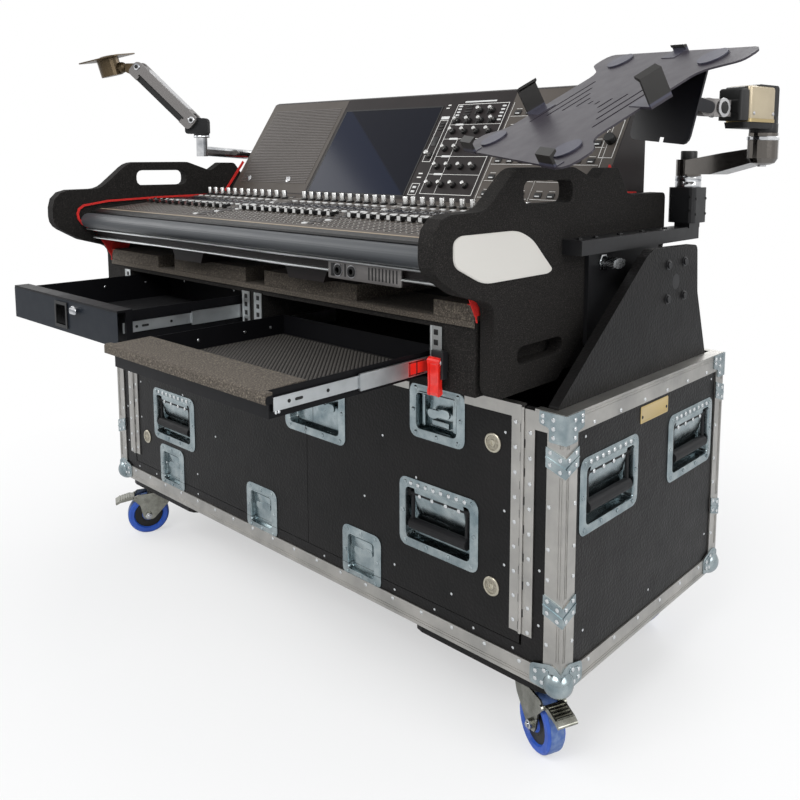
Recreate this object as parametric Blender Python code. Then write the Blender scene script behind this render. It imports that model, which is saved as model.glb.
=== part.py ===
"""Flip-up console flight case with its mixing console, drawers and two display arms.

Frame: metres, +Z up, X runs along the case from left to right, -Y is the side where the
operator stands. The origin is the middle of the underside of the case floor.
"""
import math

import bmesh
import bpy
from mathutils import Matrix, Vector

# The case is built round the console it carries
CONSOLE_WIDTH = 1.145
SIDE_ROOM = 0.1275       # console end to case end: liner, cheek, bracket, upright and wall
CASE_WIDTH = CONSOLE_WIDTH + 2 * SIDE_ROOM

# Case body
CASE_DEPTH = 0.570
CASE_HEIGHT = 0.455
PANEL = 0.012            # plywood walls, floor and doors
END_LINING = 0.010       # foam lining inside both ends
EDGE_LEG = 0.034         # visible leg of the aluminium edge angle
EDGE_THICK = 0.0025
GAP = 0.0003             # seat between pieces that touch
BALL_RADIUS = 0.024
BALL_INSET = 0.013

# Front doors
SILL_HEIGHT = 0.051      # top of the fixed strip below the doors
HINGE_X = CASE_WIDTH / 2 - 0.0805    # pin of the piano hinge
HINGE_LEAF = 0.0225
LEAF_THICK = 0.002
HINGE_BARREL = 0.003
DOOR_SPLIT_X = 0.057 * CASE_WIDTH    # the doors are unequal
DOOR_GAP = 0.0012
DOOR_RAIL = 0.021        # height of the small edge angle along the door tops

# Recessed dishes
HANDLE_DISH = (0.184, 0.128)
LATCH_DISH = (0.107, 0.104)
TOP_LATCH_DISH = (0.127, 0.098)
DISH_FLANGE = 0.017
DISH_DEPTH = 0.017
DISH_SHEET = 0.0015
DISH_CORNER = 0.016
GRIP_RADIUS = 0.0105
BAIL_ROD = 0.0035
BAIL_REACH = 0.056       # hinge pin of a handle to the middle of its grip
BAIL_HALF = HANDLE_DISH[0] / 2 - DISH_FLANGE - 0.008
PIN_INSET = 0.005        # panel face to the pin of a handle
EAR_HALF = 0.006
WING_LENGTH = 0.050
WING_WIDTH = 0.019
WING_THICK = 0.004

# Casters
WHEEL_RADIUS = 0.050
WHEEL_WIDTH = 0.034
CASTER_HEIGHT = 0.123    # floor to the underside of the board
CASTER_TRAIL = 0.038
CASTER_X = CASE_WIDTH / 2 - 0.100
CASTER_Y = CASE_DEPTH / 2 - 0.062
BOARD_THICK = 0.020
BOARD_INNER_X = CASE_WIDTH / 2 - 0.340
BOARD_DEPTH = 0.163
BOARD_INSET_X = 0.025
BOARD_INSET_Y = 0.012
BOARD_CORNER = 0.030
FORK_SHEET = 0.003
FORK_GAP = 0.0015        # wheel side to fork leg
PEDAL_PIN = (0.070, -0.022)      # behind the swivel axis, below the top plate

# Uprights that carry the flip pivot
UPRIGHT_THICK = 0.018
PIVOT_FROM_FRONT = 0.3965
PIVOT_ABOVE_RIM = 0.159
PIVOT_RADIUS = 0.015
PIVOT_CLEAR = 0.0004

# Flip cradle
CRADLE_CLEAR = 0.016     # case rim to the underside of the cradle
CABINET_HEIGHT = 0.119
CABINET_FRONT = -0.062   # ahead of the case front where negative
CABINET_BACK = 0.330
BAY_WIDTH = 0.450
BAY_FLOOR = 0.0155
BAY_ROOF = 0.0180
DIVIDER = 0.063
CHEEK_THICK = 0.028
LINER = 0.005
PAD_HEIGHT = 0.030
PAD_DEPTH = 0.240
PAD_SPAN = (0.030, 0.300)    # inner and outer end of a foam block, from the middle
CARRY_CORNER = 0.014
CARRY_SLOTS = ((0.011, 0.148, 0.297, 0.334), (0.000, 0.127, 0.045, 0.074))

# Mixing console
CONSOLE_FOOT = 0.025
CONSOLE_FRONT = -0.100
CONSOLE_BACK = 0.455
DECK_FRONT = (-0.092, 0.0685)    # from the case front, above the console underside
DECK_BACK = (0.278, 0.103)
BRIDGE_TOP = (0.434, 0.340)
ARMREST_RADIUS = 0.017
SCREEN_SIZE = (0.325, 0.236)
SCREEN_LEFT = -0.250
SCREEN_THICK = 0.0035
CONSOLE_SKIN = 0.0045
SERVICE_HALF = 0.480     # opening in the bottom plate, behind the foam blocks
SERVICE_FRONT = 0.200
SERVICE_BACK = 0.420
ENCODER_RADIUS = 0.0055
ENCODER_HEIGHT = 0.016

# Drawers and their slides
SLIDE_TOTAL = 0.0127
SLIDE_MEMBER = 0.0038
SLIDE_LENGTH = 0.330
SHEET = 0.0015
LEFT_DRAWER_OUT = 0.236
LEFT_DRAWER_HEIGHT = 0.067
LEFT_DRAWER_DEPTH = 0.330
RIGHT_DRAWER_OUT = 0.310
RIGHT_DRAWER_HEIGHT = 0.040
RIGHT_DRAWER_DEPTH = 0.350
DRAWER_FRONT_THICK = 0.012
DRAWER_FRONT_SIDE_GAP = 0.0025
DRAWER_FLOOR_GAP = 0.0020
LATCH_SQUARE = 0.049
LATCH_RISE = 0.033       # drawer underside to the middle of the latch

# Display arms
ARM_BLOCK = (0.056, 0.062, 0.069)
ARM_BLOCK_X = CASE_WIDTH / 2 - 0.070
ARM_BLOCK_FROM_FRONT = 0.525
ARM_BLOCK_ABOVE_RIM = 0.2605
COLLAR_RADIUS = 0.0245
COLLAR_HEIGHT = 0.022
LINK_HEIGHT = 0.032
ELBOW_RISE = 0.045
ELBOW_RADIUS = 0.025
HEAD_RADIUS = 0.0145
HEAD_HALF = 0.011
STEM_LENGTH = 0.064      # middle of the tilting head to the end of its stem
BAR_HALF = 0.017         # half width of the sprung arm
BAR_FORK = 0.0085        # half width of the forks at its ends
BAR_DROP = 0.021         # upper bar to lower bar, square to them
PLATE_HALF = 0.055       # display plate
PLATE_LEAN = (-9, 12)     # degrees that the plate leans on its ball, sideways and outwards

# Laptop tray in its own plane: X across, Y up the slope
TRAY_THICK = 0.003
TRAY_NEAR = (0.185, -0.172, -0.120)  # half width and both edges of the bar at the bottom
TRAY_FAR = (0.200, 0.130, 0.170)     # the same of the bar at the top
TRAY_WAIST = (0.140, -0.095, 0.100)  # half width and both ends of the straight waist
TRAY_SLOTS = 5           # on each side of the middle
TRAY_SLOT_PITCH = 0.0225
TRAY_PAD_RADIUS = 0.024
HOOK_SHEET = 0.004
HANG_SLOPE = 48          # degrees between the tray and the plate that hangs from it
HANG_FROM = 0.140        # place on the tray where that plate starts
HANG_LENGTH = 0.129
HANG_SPAN = (-0.042, 0.1165)
EAR_THICK = 0.004

# Derived places
EDGE_DROP = EDGE_THICK + GAP
RIM = CASE_HEIGHT - EDGE_DROP
FRONT = -CASE_DEPTH / 2
HALF_W = CASE_WIDTH / 2
WALL_OUT_X = HALF_W - EDGE_DROP
WALL_OUT_Y = CASE_DEPTH / 2 - EDGE_DROP
END_IN_X = WALL_OUT_X - PANEL - END_LINING
FLOOR_TOP = PANEL
CABINET_Z0 = RIM + CRADLE_CLEAR
CABINET_Z1 = CABINET_Z0 + CABINET_HEIGHT
PAD_Z0 = CABINET_Z1 + GAP
PAD_Z1 = PAD_Z0 + PAD_HEIGHT
CONSOLE_Z0 = PAD_Z1 + GAP + CONSOLE_FOOT
HALF_CONSOLE = CONSOLE_WIDTH / 2
CHEEK_IN_X = HALF_CONSOLE + GAP + LINER
CHEEK_OUT_X = CHEEK_IN_X + CHEEK_THICK
CABINET_HALF = HALF_CONSOLE
PIVOT_Y = FRONT + PIVOT_FROM_FRONT
PIVOT_Z = RIM + PIVOT_ABOVE_RIM
UPRIGHT_OUT_X = END_IN_X - GAP
UPRIGHT_IN_X = UPRIGHT_OUT_X - UPRIGHT_THICK
BOARD_Z1 = -EDGE_DROP - GAP
BOARD_Z0 = BOARD_Z1 - BOARD_THICK
FLOOR_Z = BOARD_Z0 - CASTER_HEIGHT

COLOURS = {
    "laminate": ((0.012, 0.012, 0.013), 0.55, 0.0),
    "aluminium": ((0.62, 0.62, 0.60), 0.35, 1.0),
    "zinc": ((0.55, 0.60, 0.62), 0.28, 1.0),
    "rubber": ((0.015, 0.015, 0.017), 0.7, 0.0),
    "blue_tyre": ((0.02, 0.09, 0.62), 0.45, 0.0),
    "black_steel": ((0.013, 0.013, 0.015), 0.4, 0.6),
    "black_foam": ((0.016, 0.015, 0.015), 0.85, 0.0),
    "pad_foam": ((0.12, 0.10, 0.085), 0.95, 0.0),
    "console": ((0.035, 0.032, 0.031), 0.5, 0.2),
    "armrest": ((0.12, 0.13, 0.15), 0.5, 0.0),
    "screen": ((0.006, 0.010, 0.035), 0.08, 0.0),
    "drawer_paint": ((0.010, 0.013, 0.022), 0.45, 0.3),
    "red_plastic": ((0.75, 0.02, 0.01), 0.35, 0.0),
    "chrome": ((0.75, 0.75, 0.76), 0.12, 1.0),
    "grey_paint": ((0.20, 0.19, 0.19), 0.45, 0.4),
    "gold_plate": ((0.50, 0.38, 0.18), 0.35, 0.9),
    "tray_paint": ((0.025, 0.023, 0.035), 0.4, 0.4),
}


def material(kind):
    """One Principled material for each finish."""
    found = bpy.data.materials.get(kind)
    if found:
        return found
    colour, roughness, metallic = COLOURS[kind]
    made = bpy.data.materials.new(kind)
    made.use_nodes = True
    shader = made.node_tree.nodes["Principled BSDF"]
    shader.inputs["Base Color"].default_value = (*colour, 1.0)
    shader.inputs["Roughness"].default_value = roughness
    shader.inputs["Metallic"].default_value = metallic
    made.diffuse_color = (*colour, 1.0)
    return made


# Basic solids

def solid_from(bm, name="work"):
    """Close a bmesh into an object with its faces pointing out."""
    bmesh.ops.recalc_face_normals(bm, faces=bm.faces)
    mesh = bpy.data.meshes.new(name)
    bm.to_mesh(mesh)
    bm.free()
    made = bpy.data.objects.new(name, mesh)
    bpy.context.scene.collection.objects.link(made)
    return made


def box(x0, x1, y0, y1, z0, z1):
    """Block between two corners."""
    bm = bmesh.new()
    bmesh.ops.create_cube(bm, size=1.0)
    size = Matrix.Diagonal((abs(x1 - x0), abs(y1 - y0), abs(z1 - z0), 1.0))
    middle = Matrix.Translation(((x0 + x1) / 2, (y0 + y1) / 2, (z0 + z1) / 2))
    bmesh.ops.transform(bm, matrix=middle @ size, verts=bm.verts)
    return solid_from(bm)


def prism(outline, axis, start, end):
    """Outline extruded along X, Y or Z. It is given in the other two axes, in order."""
    bm = bmesh.new()

    def point(a, b, c):
        return {"X": (c, a, b), "Y": (a, c, b), "Z": (a, b, c)}[axis]

    low = [bm.verts.new(point(a, b, start)) for a, b in outline]
    face = bm.faces.new(low)
    grown = bmesh.ops.extrude_face_region(bm, geom=[face])
    moved = [item for item in grown["geom"] if isinstance(item, bmesh.types.BMVert)]
    bmesh.ops.translate(bm, vec=Vector(point(0, 0, end)) - Vector(point(0, 0, start)), verts=moved)
    return solid_from(bm)


def rod(start, end, radius, sides=16, end_radius=None):
    """Round bar, or a cone, between two points."""
    start = Vector(start)
    end = Vector(end)
    run = end - start
    bm = bmesh.new()
    other = radius if end_radius is None else end_radius
    bmesh.ops.create_cone(bm, cap_ends=True, segments=sides, radius1=radius, radius2=other,
                          depth=run.length)
    turn = run.to_track_quat("Z", "Y").to_matrix().to_4x4()
    bmesh.ops.transform(bm, matrix=Matrix.Translation((start + end) / 2) @ turn, verts=bm.verts)
    return solid_from(bm)


def ball(centre, radius, sides=16, rings=10):
    """Plain sphere."""
    bm = bmesh.new()
    bmesh.ops.create_uvsphere(bm, u_segments=sides, v_segments=rings, radius=radius)
    bmesh.ops.translate(bm, vec=Vector(centre), verts=bm.verts)
    return solid_from(bm)


def turned(profile, sides=32):
    """Solid of revolution about Z from (radius, height) points given from bottom to top."""
    bm = bmesh.new()
    rings = []
    for radius, height in profile:
        ring = []
        for step in range(sides):
            angle = 2 * math.pi * step / sides
            ring.append(bm.verts.new((radius * math.cos(angle), radius * math.sin(angle), height)))
        rings.append(ring)
    for lower, upper in zip(rings, rings[1:]):
        for step in range(sides):
            nxt = (step + 1) % sides
            bm.faces.new((lower[step], lower[nxt], upper[nxt], upper[step]))
    bm.faces.new(rings[0])
    bm.faces.new(rings[-1])
    return solid_from(bm)


def rounded(points, steps=4):
    """Corner list (a, b, radius) turned into an outline whose corners are arcs."""
    outline = []
    count = len(points)
    for index, (a, b, radius) in enumerate(points):
        here = Vector((a, b))
        before = Vector(points[index - 1][:2]) - here
        after = Vector(points[(index + 1) % count][:2]) - here
        angle = before.angle(after)
        if radius <= 0 or angle > math.radians(178):
            outline.append((a, b))
            continue
        reach = radius / math.tan(angle / 2)
        limit = 0.48 * min(before.length, after.length)
        if reach > limit:
            reach = limit
            radius = reach * math.tan(angle / 2)
        bisector = (before.normalized() + after.normalized()).normalized()
        centre = here + bisector * (radius / math.sin(angle / 2))
        first = here + before.normalized() * reach - centre
        last = here + after.normalized() * reach - centre
        sweep = first.angle_signed(last)
        for step in range(steps + 1):
            turn = -sweep * step / steps
            spun = Matrix.Rotation(turn, 2) @ first
            outline.append(tuple(centre + spun))
    return outline


def rounded_rect(a0, a1, b0, b1, radius, steps=3):
    """Rectangle with rounded corners."""
    corners = [(a0, b0, radius), (a1, b0, radius), (a1, b1, radius), (a0, b1, radius)]
    return rounded(corners, steps)


def boolean(base, tool, operation, solver):
    """Boolean that is settled into the base mesh."""
    step = base.modifiers.new("step", "BOOLEAN")
    step.operation = operation
    step.solver = solver
    step.object = tool
    graph = bpy.context.evaluated_depsgraph_get()
    settled = bpy.data.meshes.new_from_object(base.evaluated_get(graph))
    base.modifiers.clear()
    old = base.data
    base.data = settled
    bpy.data.meshes.remove(old)
    bpy.data.objects.remove(tool)


def fuse(base, *others, solver="EXACT"):
    for other in others:
        boolean(base, other, "UNION", solver)
    return base


def cut(base, *cutters, solver="EXACT"):
    for cutter in cutters:
        boolean(base, cutter, "DIFFERENCE", solver)
    return base


def shape(obj, matrix):
    """Move or turn a work solid before it is fused."""
    obj.data.transform(matrix)
    return obj


def soften(obj, width, segments=2, angle=35):
    """Round the sharp edges of a finished solid."""
    bevel = obj.modifiers.new("edge_round", "BEVEL")
    bevel.width = width
    bevel.segments = segments
    bevel.limit_method = "ANGLE"
    bevel.angle_limit = math.radians(angle)
    bevel.use_clamp_overlap = True
    return obj


def finish(obj, name, kind, pivot=(0, 0, 0), turn=None, built_at_pivot=False):
    """Name a piece, colour it and put its origin on its joint."""
    obj.name = name
    obj.data.name = name
    obj.data.materials.clear()
    obj.data.materials.append(material(kind))
    if not built_at_pivot:
        obj.data.transform(Matrix.Translation(-Vector(pivot)))
    obj.location = pivot
    if turn is not None:
        obj.rotation_mode = "QUATERNION"
        obj.rotation_quaternion = turn
    obj.data.shade_smooth()
    obj.data.set_sharp_from_angle(angle=math.radians(32))
    return obj


def from_front(distance):
    """Y of a place measured backwards from the case front."""
    return FRONT + distance


# Dishes: a raised flange, a pressed tray behind it and the recess

def front_dish(x, z, size, depth=DISH_DEPTH):
    """Solid and recess of a dish in the front face, given the middle of its flange."""
    half_w = size[0] / 2
    half_h = size[1] / 2
    face = FRONT + EDGE_DROP
    flange = prism(rounded_rect(x - half_w, x + half_w, z - half_h, z + half_h, DISH_CORNER),
                   "Y", face - DISH_SHEET, face + depth + DISH_SHEET)
    in_w = half_w - DISH_FLANGE
    in_h = half_h - DISH_FLANGE
    recess = prism(rounded_rect(x - in_w, x + in_w, z - in_h, z + in_h, DISH_CORNER / 2),
                   "Y", face - 2 * DISH_SHEET, face + depth)
    return flange, recess


def end_dish(side, y, z, size):
    """The same dish in an end wall."""
    half_w = size[0] / 2
    half_h = size[1] / 2
    face = WALL_OUT_X * side
    flange = prism(rounded_rect(y - half_w, y + half_w, z - half_h, z + half_h, DISH_CORNER),
                   "X", face + DISH_SHEET * side, face - (DISH_DEPTH + DISH_SHEET) * side)
    in_w = half_w - DISH_FLANGE
    in_h = half_h - DISH_FLANGE
    recess = prism(rounded_rect(y - in_w, y + in_w, z - in_h, z + in_h, DISH_CORNER / 2),
                   "X", face + 2 * DISH_SHEET * side, face - DISH_DEPTH * side)
    return flange, recess


def handle_ears(pin, out, along):
    """Two lugs inside a handle's dish that hold the ends of its pin."""
    pin = Vector(pin)
    out = Vector(out)
    along = Vector(along)
    ears = []
    for end in (-1, 1):
        near = pin + along * (BAIL_HALF + GAP) * end
        far = pin + along * (HANDLE_DISH[0] / 2 - DISH_FLANGE + 0.001) * end
        low = near + out * 0.0030 + Vector((0, 0, -EAR_HALF))
        high = far - out * (DISH_DEPTH - 0.0045) + Vector((0, 0, EAR_HALF))
        ears.append(box(*sorted((low.x, high.x)), *sorted((low.y, high.y)), low.z, high.z))
    return ears


HANDLE_Z = SILL_HEIGHT + 0.153
END_HANDLE_Z = CASE_HEIGHT - 0.149
END_HANDLE_Y = CASE_DEPTH / 2 - 0.137
DOOR_HANDLES = {"right": HINGE_X - 0.1825, "left": -HINGE_X + 0.1915}
BOTTOM_LATCHES = {"left": -HINGE_X + 0.1775, "middle": DOOR_SPLIT_X - 0.157,
                  "right": DOOR_SPLIT_X + 0.161}
BOTTOM_LATCH_Z = SILL_HEIGHT + 0.0265
MIDDLE_LATCH_X = DOOR_SPLIT_X + 0.025
MIDDLE_LATCH_Z = CASE_HEIGHT - 0.108
TOP_LATCH_X = HINGE_X - 0.185


def make_tub():
    """Floor, ends, back, front sill and posts, with the caster boards under the floor."""
    top = RIM - EDGE_DROP
    tub = box(-WALL_OUT_X, WALL_OUT_X, -WALL_OUT_Y, WALL_OUT_Y, 0, top)
    inside_y = WALL_OUT_Y - PANEL
    cut(tub, box(-END_IN_X, END_IN_X, -inside_y, inside_y, FLOOR_TOP, top + PANEL))
    door_hole = HINGE_X + DOOR_GAP
    cut(tub, box(-door_hole, door_hole, -WALL_OUT_Y - PANEL, -inside_y + PANEL / 2, SILL_HEIGHT,
                 top + PANEL))
    for side in (-1, 1):
        for end in (-1, 1):
            flange, recess = end_dish(side, END_HANDLE_Y * end, END_HANDLE_Z, HANDLE_DISH)
            fuse(tub, flange)
            cut(tub, recess)
            fuse(tub, *handle_ears(end_handle_pin(side, end), (side, 0, 0), (0, 1, 0)))
    for x in BOTTOM_LATCHES.values():
        cut(tub, bottom_latch_hole(x, below=True))
    for side in (-1, 1):
        for end in (-1, 1):
            fuse(tub, *caster_board(side, end))
        leaf_in = (HINGE_X + HINGE_BARREL + GAP) * side
        leaf_out = (HINGE_X + HINGE_LEAF) * side
        face = -WALL_OUT_Y
        fuse(tub, box(leaf_in, leaf_out, face - LEAF_THICK, face + LEAF_THICK, SILL_HEIGHT + 0.022,
                      top - 0.001))
    return finish(tub, "tub", "laminate")


def bottom_latch_hole(x, below):
    """Recess of a latch that bridges the door and the sill. Each side takes its own half."""
    in_w = LATCH_DISH[0] / 2 - DISH_FLANGE
    in_h = LATCH_DISH[1] / 2 - DISH_FLANGE
    face = FRONT + EDGE_DROP
    low = BOTTOM_LATCH_Z - in_h
    high = SILL_HEIGHT + DOOR_GAP if below else BOTTOM_LATCH_Z + in_h
    return prism(rounded_rect(x - in_w, x + in_w, low, high, DISH_CORNER / 3), "Y",
                 face - 2 * DISH_SHEET, face + PANEL * 0.6)


def caster_board(side, end):
    """Board under one corner, with the caster's top plate. It steps over the edge angle."""
    x_out = (HALF_W - BOARD_INSET_X) * side
    x_in = BOARD_INNER_X * side
    y_out = (CASE_DEPTH / 2 - BOARD_INSET_Y) * end
    y_in = y_out - BOARD_DEPTH * end
    plate = prism(rounded_rect(min(x_in, x_out), max(x_in, x_out), min(y_in, y_out),
                               max(y_in, y_out), BOARD_CORNER), "Z", BOARD_Z0, BOARD_Z1)
    leg = EDGE_LEG + GAP
    x_step = (HALF_W - leg) * side
    y_step = (CASE_DEPTH / 2 - leg) * end
    infill = box(x_in + 0.02 * side, x_step, y_in + 0.02 * end, y_step, BOARD_Z1 - 0.002, 0.002)
    x = CASTER_X * side
    y = CASTER_Y * end
    top_plate = prism(rounded_rect(x - 0.0525, x + 0.0525, y - 0.040, y + 0.040, 0.008), "Z",
                      BOARD_Z0 - 0.003, BOARD_Z0 + 0.002)
    return infill, plate, top_plate


def make_edge_frame():
    """Aluminium edge angles, with the corner plates, post braces and ball corners."""
    z0 = -EDGE_DROP
    frame = box(-HALF_W, HALF_W, -CASE_DEPTH / 2, CASE_DEPTH / 2, z0, RIM)
    window_x = HALF_W - EDGE_LEG
    window_y = CASE_DEPTH / 2 - EDGE_LEG
    far = CASE_WIDTH
    low = z0 + EDGE_LEG
    high = RIM - EDGE_LEG
    cut(frame, box(-far, far, -window_y, window_y, low, high))
    cut(frame, box(-window_x, window_x, -far, far, low, high))
    rim_in_x = END_IN_X
    rim_in_y = WALL_OUT_Y - PANEL
    cut(frame, box(-window_x, window_x, -window_y, window_y, z0 - 0.01, z0 + 0.01))
    cut(frame, box(-rim_in_x, rim_in_x, -rim_in_y, rim_in_y, RIM - 0.01, RIM + 0.01))
    door_in = HINGE_X + HINGE_LEAF + GAP
    cut(frame, box(-door_in, door_in, -CASE_DEPTH, -window_y, high - 0.01, RIM + 0.01))
    for side in (-1, 1):
        for end in (-1, 1):
            fuse(frame, *post_braces(side, end), *top_corner(side, end), solver="MANIFOLD")
            x = (HALF_W - BALL_INSET) * side
            y = (CASE_DEPTH / 2 - BALL_INSET) * end
            corner = ball((x, y, z0 + BALL_INSET), BALL_RADIUS, 12, 8)
            fuse(frame, corner, *ball_leaves(side, end), solver="MANIFOLD")
    inner_x = HALF_W - EDGE_THICK
    inner_y = CASE_DEPTH / 2 - EDGE_THICK
    hollow = box(-inner_x, inner_x, -inner_y, inner_y, z0 + EDGE_THICK, RIM - EDGE_THICK)
    cut(frame, hollow, solver="MANIFOLD")
    return finish(frame, "edge_frame", "aluminium")


def ball_leaves(side, end):
    """Three pressed leaves of a ball corner, one on each angle."""
    sheet = 0.0015
    bite = 0.0010
    x = HALF_W * side
    y = CASE_DEPTH / 2 * end
    z0 = -EDGE_DROP
    reach = 0.058
    tail = 0.030

    def leaf(direction, level):
        wrap = -direction * sheet
        outline = [(wrap, 0.0, 0), (direction * reach, 0.004, 0.006),
                   (direction * reach, tail + 0.006, 0.008), (direction * 0.014, 0.048, 0.010),
                   (wrap, 0.036, 0)]
        return [(a + level, b + z0) for a, b in rounded(outline, 2)]

    on_front = prism(leaf(-side, x), "Y", y + sheet * end, y - bite * end)
    on_end = prism(leaf(-end, y), "X", x + sheet * side, x - bite * side)
    return on_front, on_end


def post_braces(side, end):
    """Two V-shaped braces folded round a post."""
    sheet = 0.0015
    bite = 0.0010
    width = EDGE_LEG + 0.001
    x = HALF_W * side
    y = CASE_DEPTH / 2 * end
    parts = []
    for z in (0.112, 0.353):
        low_in, low_out = z + 0.012, z
        high_in, high_out = z + 0.044, z + 0.032
        x_wrap = x + sheet * side
        y_wrap = y + sheet * end
        on_front = [(x_wrap, low_out), (x - width * side, low_in), (x - width * side, high_in),
                    (x_wrap, high_out)]
        on_end = [(y_wrap, low_out), (y - width * end, low_in), (y - width * end, high_in),
                  (y_wrap, high_out)]
        parts.append(prism(on_front, "Y", y + sheet * end, y - bite * end))
        parts.append(prism(on_end, "X", x + sheet * side, x - bite * side))
    return parts


def top_corner(side, end):
    """Flat corner plates at the rim."""
    sheet = 0.0015
    bite = 0.0010
    x = HALF_W * side
    y = CASE_DEPTH / 2 * end
    leg = 0.048
    drop = 0.046
    top = RIM - 0.001
    narrow = EDGE_LEG - 0.004
    x_wrap = x + sheet * side
    y_wrap = y + sheet * end
    flat_x = [(x_wrap, top, 0), (x - leg * side, top, 0), (x - leg * side, top - 0.020, 0.004),
              (x - narrow * side, top - 0.024, 0.003), (x - narrow * side, top - drop, 0.004),
              (x_wrap, top - drop, 0)]
    flat_y = [(y_wrap, top, 0), (y - leg * end, top, 0), (y - leg * end, top - 0.026, 0.004),
              (y - narrow * end, top - 0.030, 0.003), (y - narrow * end, top - drop, 0.004),
              (y_wrap, top - drop, 0)]
    on_front = prism(rounded(flat_x, 2), "Y", y + sheet * end, y - bite * end)
    on_end = prism(rounded(flat_y, 2), "X", x + sheet * side, x - bite * side)
    return on_front, on_end


def make_door(name, side):
    """One front door: panel with its dishes, and its metal trim as a second piece."""
    hinge = HINGE_X * side
    panel_edge = hinge - (HINGE_BARREL + GAP) * side
    split = DOOR_SPLIT_X + DOOR_GAP / 2 * side
    face = FRONT + EDGE_DROP
    z0 = SILL_HEIGHT + DOOR_GAP
    z1 = RIM - EDGE_THICK - GAP
    panel = box(split, panel_edge, face, face + PANEL, z0, z1)
    dishes = [front_dish(DOOR_HANDLES[name], HANDLE_Z, HANDLE_DISH)]
    dishes.append(front_dish(TOP_LATCH_X * side, z1 - DOOR_RAIL - TOP_LATCH_DISH[1] / 2 + 0.018,
                             TOP_LATCH_DISH))
    for flange, recess in dishes:
        fuse(panel, flange)
        cut(panel, recess)
    fuse(panel, *handle_ears(door_handle_pin(name), (0, -1, 0), (1, 0, 0)))
    for x in BOTTOM_LATCHES.values():
        if (x - DOOR_SPLIT_X) * side > 0:
            add_half_dish(panel, x, BOTTOM_LATCH_Z, LATCH_DISH, z0=z0)
    limit = {"x1": split} if side < 0 else {"x0": split}
    add_half_dish(panel, MIDDLE_LATCH_X, MIDDLE_LATCH_Z, HANDLE_DISH, **limit)
    return finish(panel, "door_" + name, "laminate", pivot=(hinge, face - HINGE_BARREL, 0))


def add_half_dish(panel, x, z, size, x0=None, x1=None, z0=None):
    """Dish that a joint line crosses: only the part on this door's side is made."""
    flange, recess = front_dish(x, z, size)
    for work in (flange, recess):
        reach = 0.3
        if x0 is not None:
            cut(work, box(x0 - reach, x0, FRONT - reach, FRONT + reach, z - reach, z + reach))
        if x1 is not None:
            cut(work, box(x1, x1 + reach, FRONT - reach, FRONT + reach, z - reach, z + reach))
        if z0 is not None:
            cut(work, box(x - reach, x + reach, FRONT - reach, FRONT + reach, z0 - reach, z0))
    fuse(panel, flange)
    cut(panel, recess)


def make_door_trim(name, side):
    """Edge angle along the door top, the hinge leaf and the knuckles, in one piece."""
    hinge = HINGE_X * side
    split = DOOR_SPLIT_X + DOOR_GAP / 2 * side
    edge = hinge - (HINGE_BARREL + GAP) * side
    face = FRONT + EDGE_DROP - GAP
    top = RIM
    rail = box(split, edge, face - EDGE_THICK, face, top - DOOR_RAIL, top)
    depth = face + PANEL + 2 * GAP
    fuse(rail, box(split, edge, face - 0.001, depth, top - EDGE_THICK, top))
    leaf_z0 = SILL_HEIGHT + 0.022
    leaf_in = hinge - HINGE_LEAF * side
    leaf = box(leaf_in, hinge, face - LEAF_THICK, face, leaf_z0, top - 0.002)
    barrel_y = FRONT + EDGE_DROP - HINGE_BARREL
    barrel = rod((hinge, barrel_y, leaf_z0), (hinge, barrel_y, top - 0.002), HINGE_BARREL, 10)
    fuse(rail, leaf, barrel)
    latch_gap = TOP_LATCH_DISH[0] / 2 + 0.0005
    x = TOP_LATCH_X * side
    cut(rail, box(x - latch_gap, x + latch_gap, face - 0.01, face + 0.0001, top - 2 * DOOR_RAIL,
                  top - EDGE_THICK))
    return finish(rail, "door_trim_" + name, "aluminium", pivot=(hinge, barrel_y, 0))


# Handles and latches

def make_bail(name, pin, out, along):
    """Sprung handle: pin, two arms and a thick grip. It hangs below its pin."""
    pin = Vector(pin)
    out = Vector(out)
    along = Vector(along)
    half = BAIL_HALF
    down = Vector((0, 0, -1))
    grip_at = down * BAIL_REACH + out * 0.0010
    bail = rod(along * -half, along * half, BAIL_ROD, 8)
    for end in (-1, 1):
        offset = along * (half - BAIL_ROD) * end
        fuse(bail, rod(offset, offset + grip_at, BAIL_ROD, 8))
    fuse(bail, rod(grip_at - along * (half - 0.0005), grip_at + along * (half - 0.0005),
                   GRIP_RADIUS, 14))
    return finish(bail, name, "rubber", pivot=pin, built_at_pivot=True)


def bail_pin(centre_z):
    """Height of a handle's pin in its dish."""
    return centre_z + HANDLE_DISH[1] / 2 - DISH_FLANGE - 0.012


def door_handle_pin(name):
    return (DOOR_HANDLES[name], FRONT + EDGE_DROP + PIN_INSET, bail_pin(HANDLE_Z))


def end_handle_pin(side, end):
    return ((WALL_OUT_X - PIN_INSET) * side, END_HANDLE_Y * end, bail_pin(END_HANDLE_Z))


def make_wing(name, x, z):
    """Butterfly wing of a twist latch: two lobes on a round hub."""
    face = FRONT + EDGE_DROP
    hub_back = face + DISH_DEPTH - GAP
    lobe_y = face + 0.0035
    half = WING_LENGTH / 2
    lobes = []
    for end in (-1, 1):
        lobes += [(half * end, 0.30 * WING_WIDTH * -end, 0.006),
                  (half * end, 0.50 * WING_WIDTH * end, 0.008),
                  (0.30 * half * end, 0.50 * WING_WIDTH * end, 0.004),
                  (0.0, 0.28 * WING_WIDTH * end, 0.0)]
    blade = prism(rounded(lobes, 3), "Y", 0, WING_THICK)
    shape(blade, Matrix.Translation((x, lobe_y, z)))
    hub = rod((x, lobe_y + WING_THICK / 2, z), (x, hub_back, z), 0.0075, 14)
    fuse(blade, hub)
    return finish(blade, name, "zinc", pivot=(x, lobe_y, z))


# Casters

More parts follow.
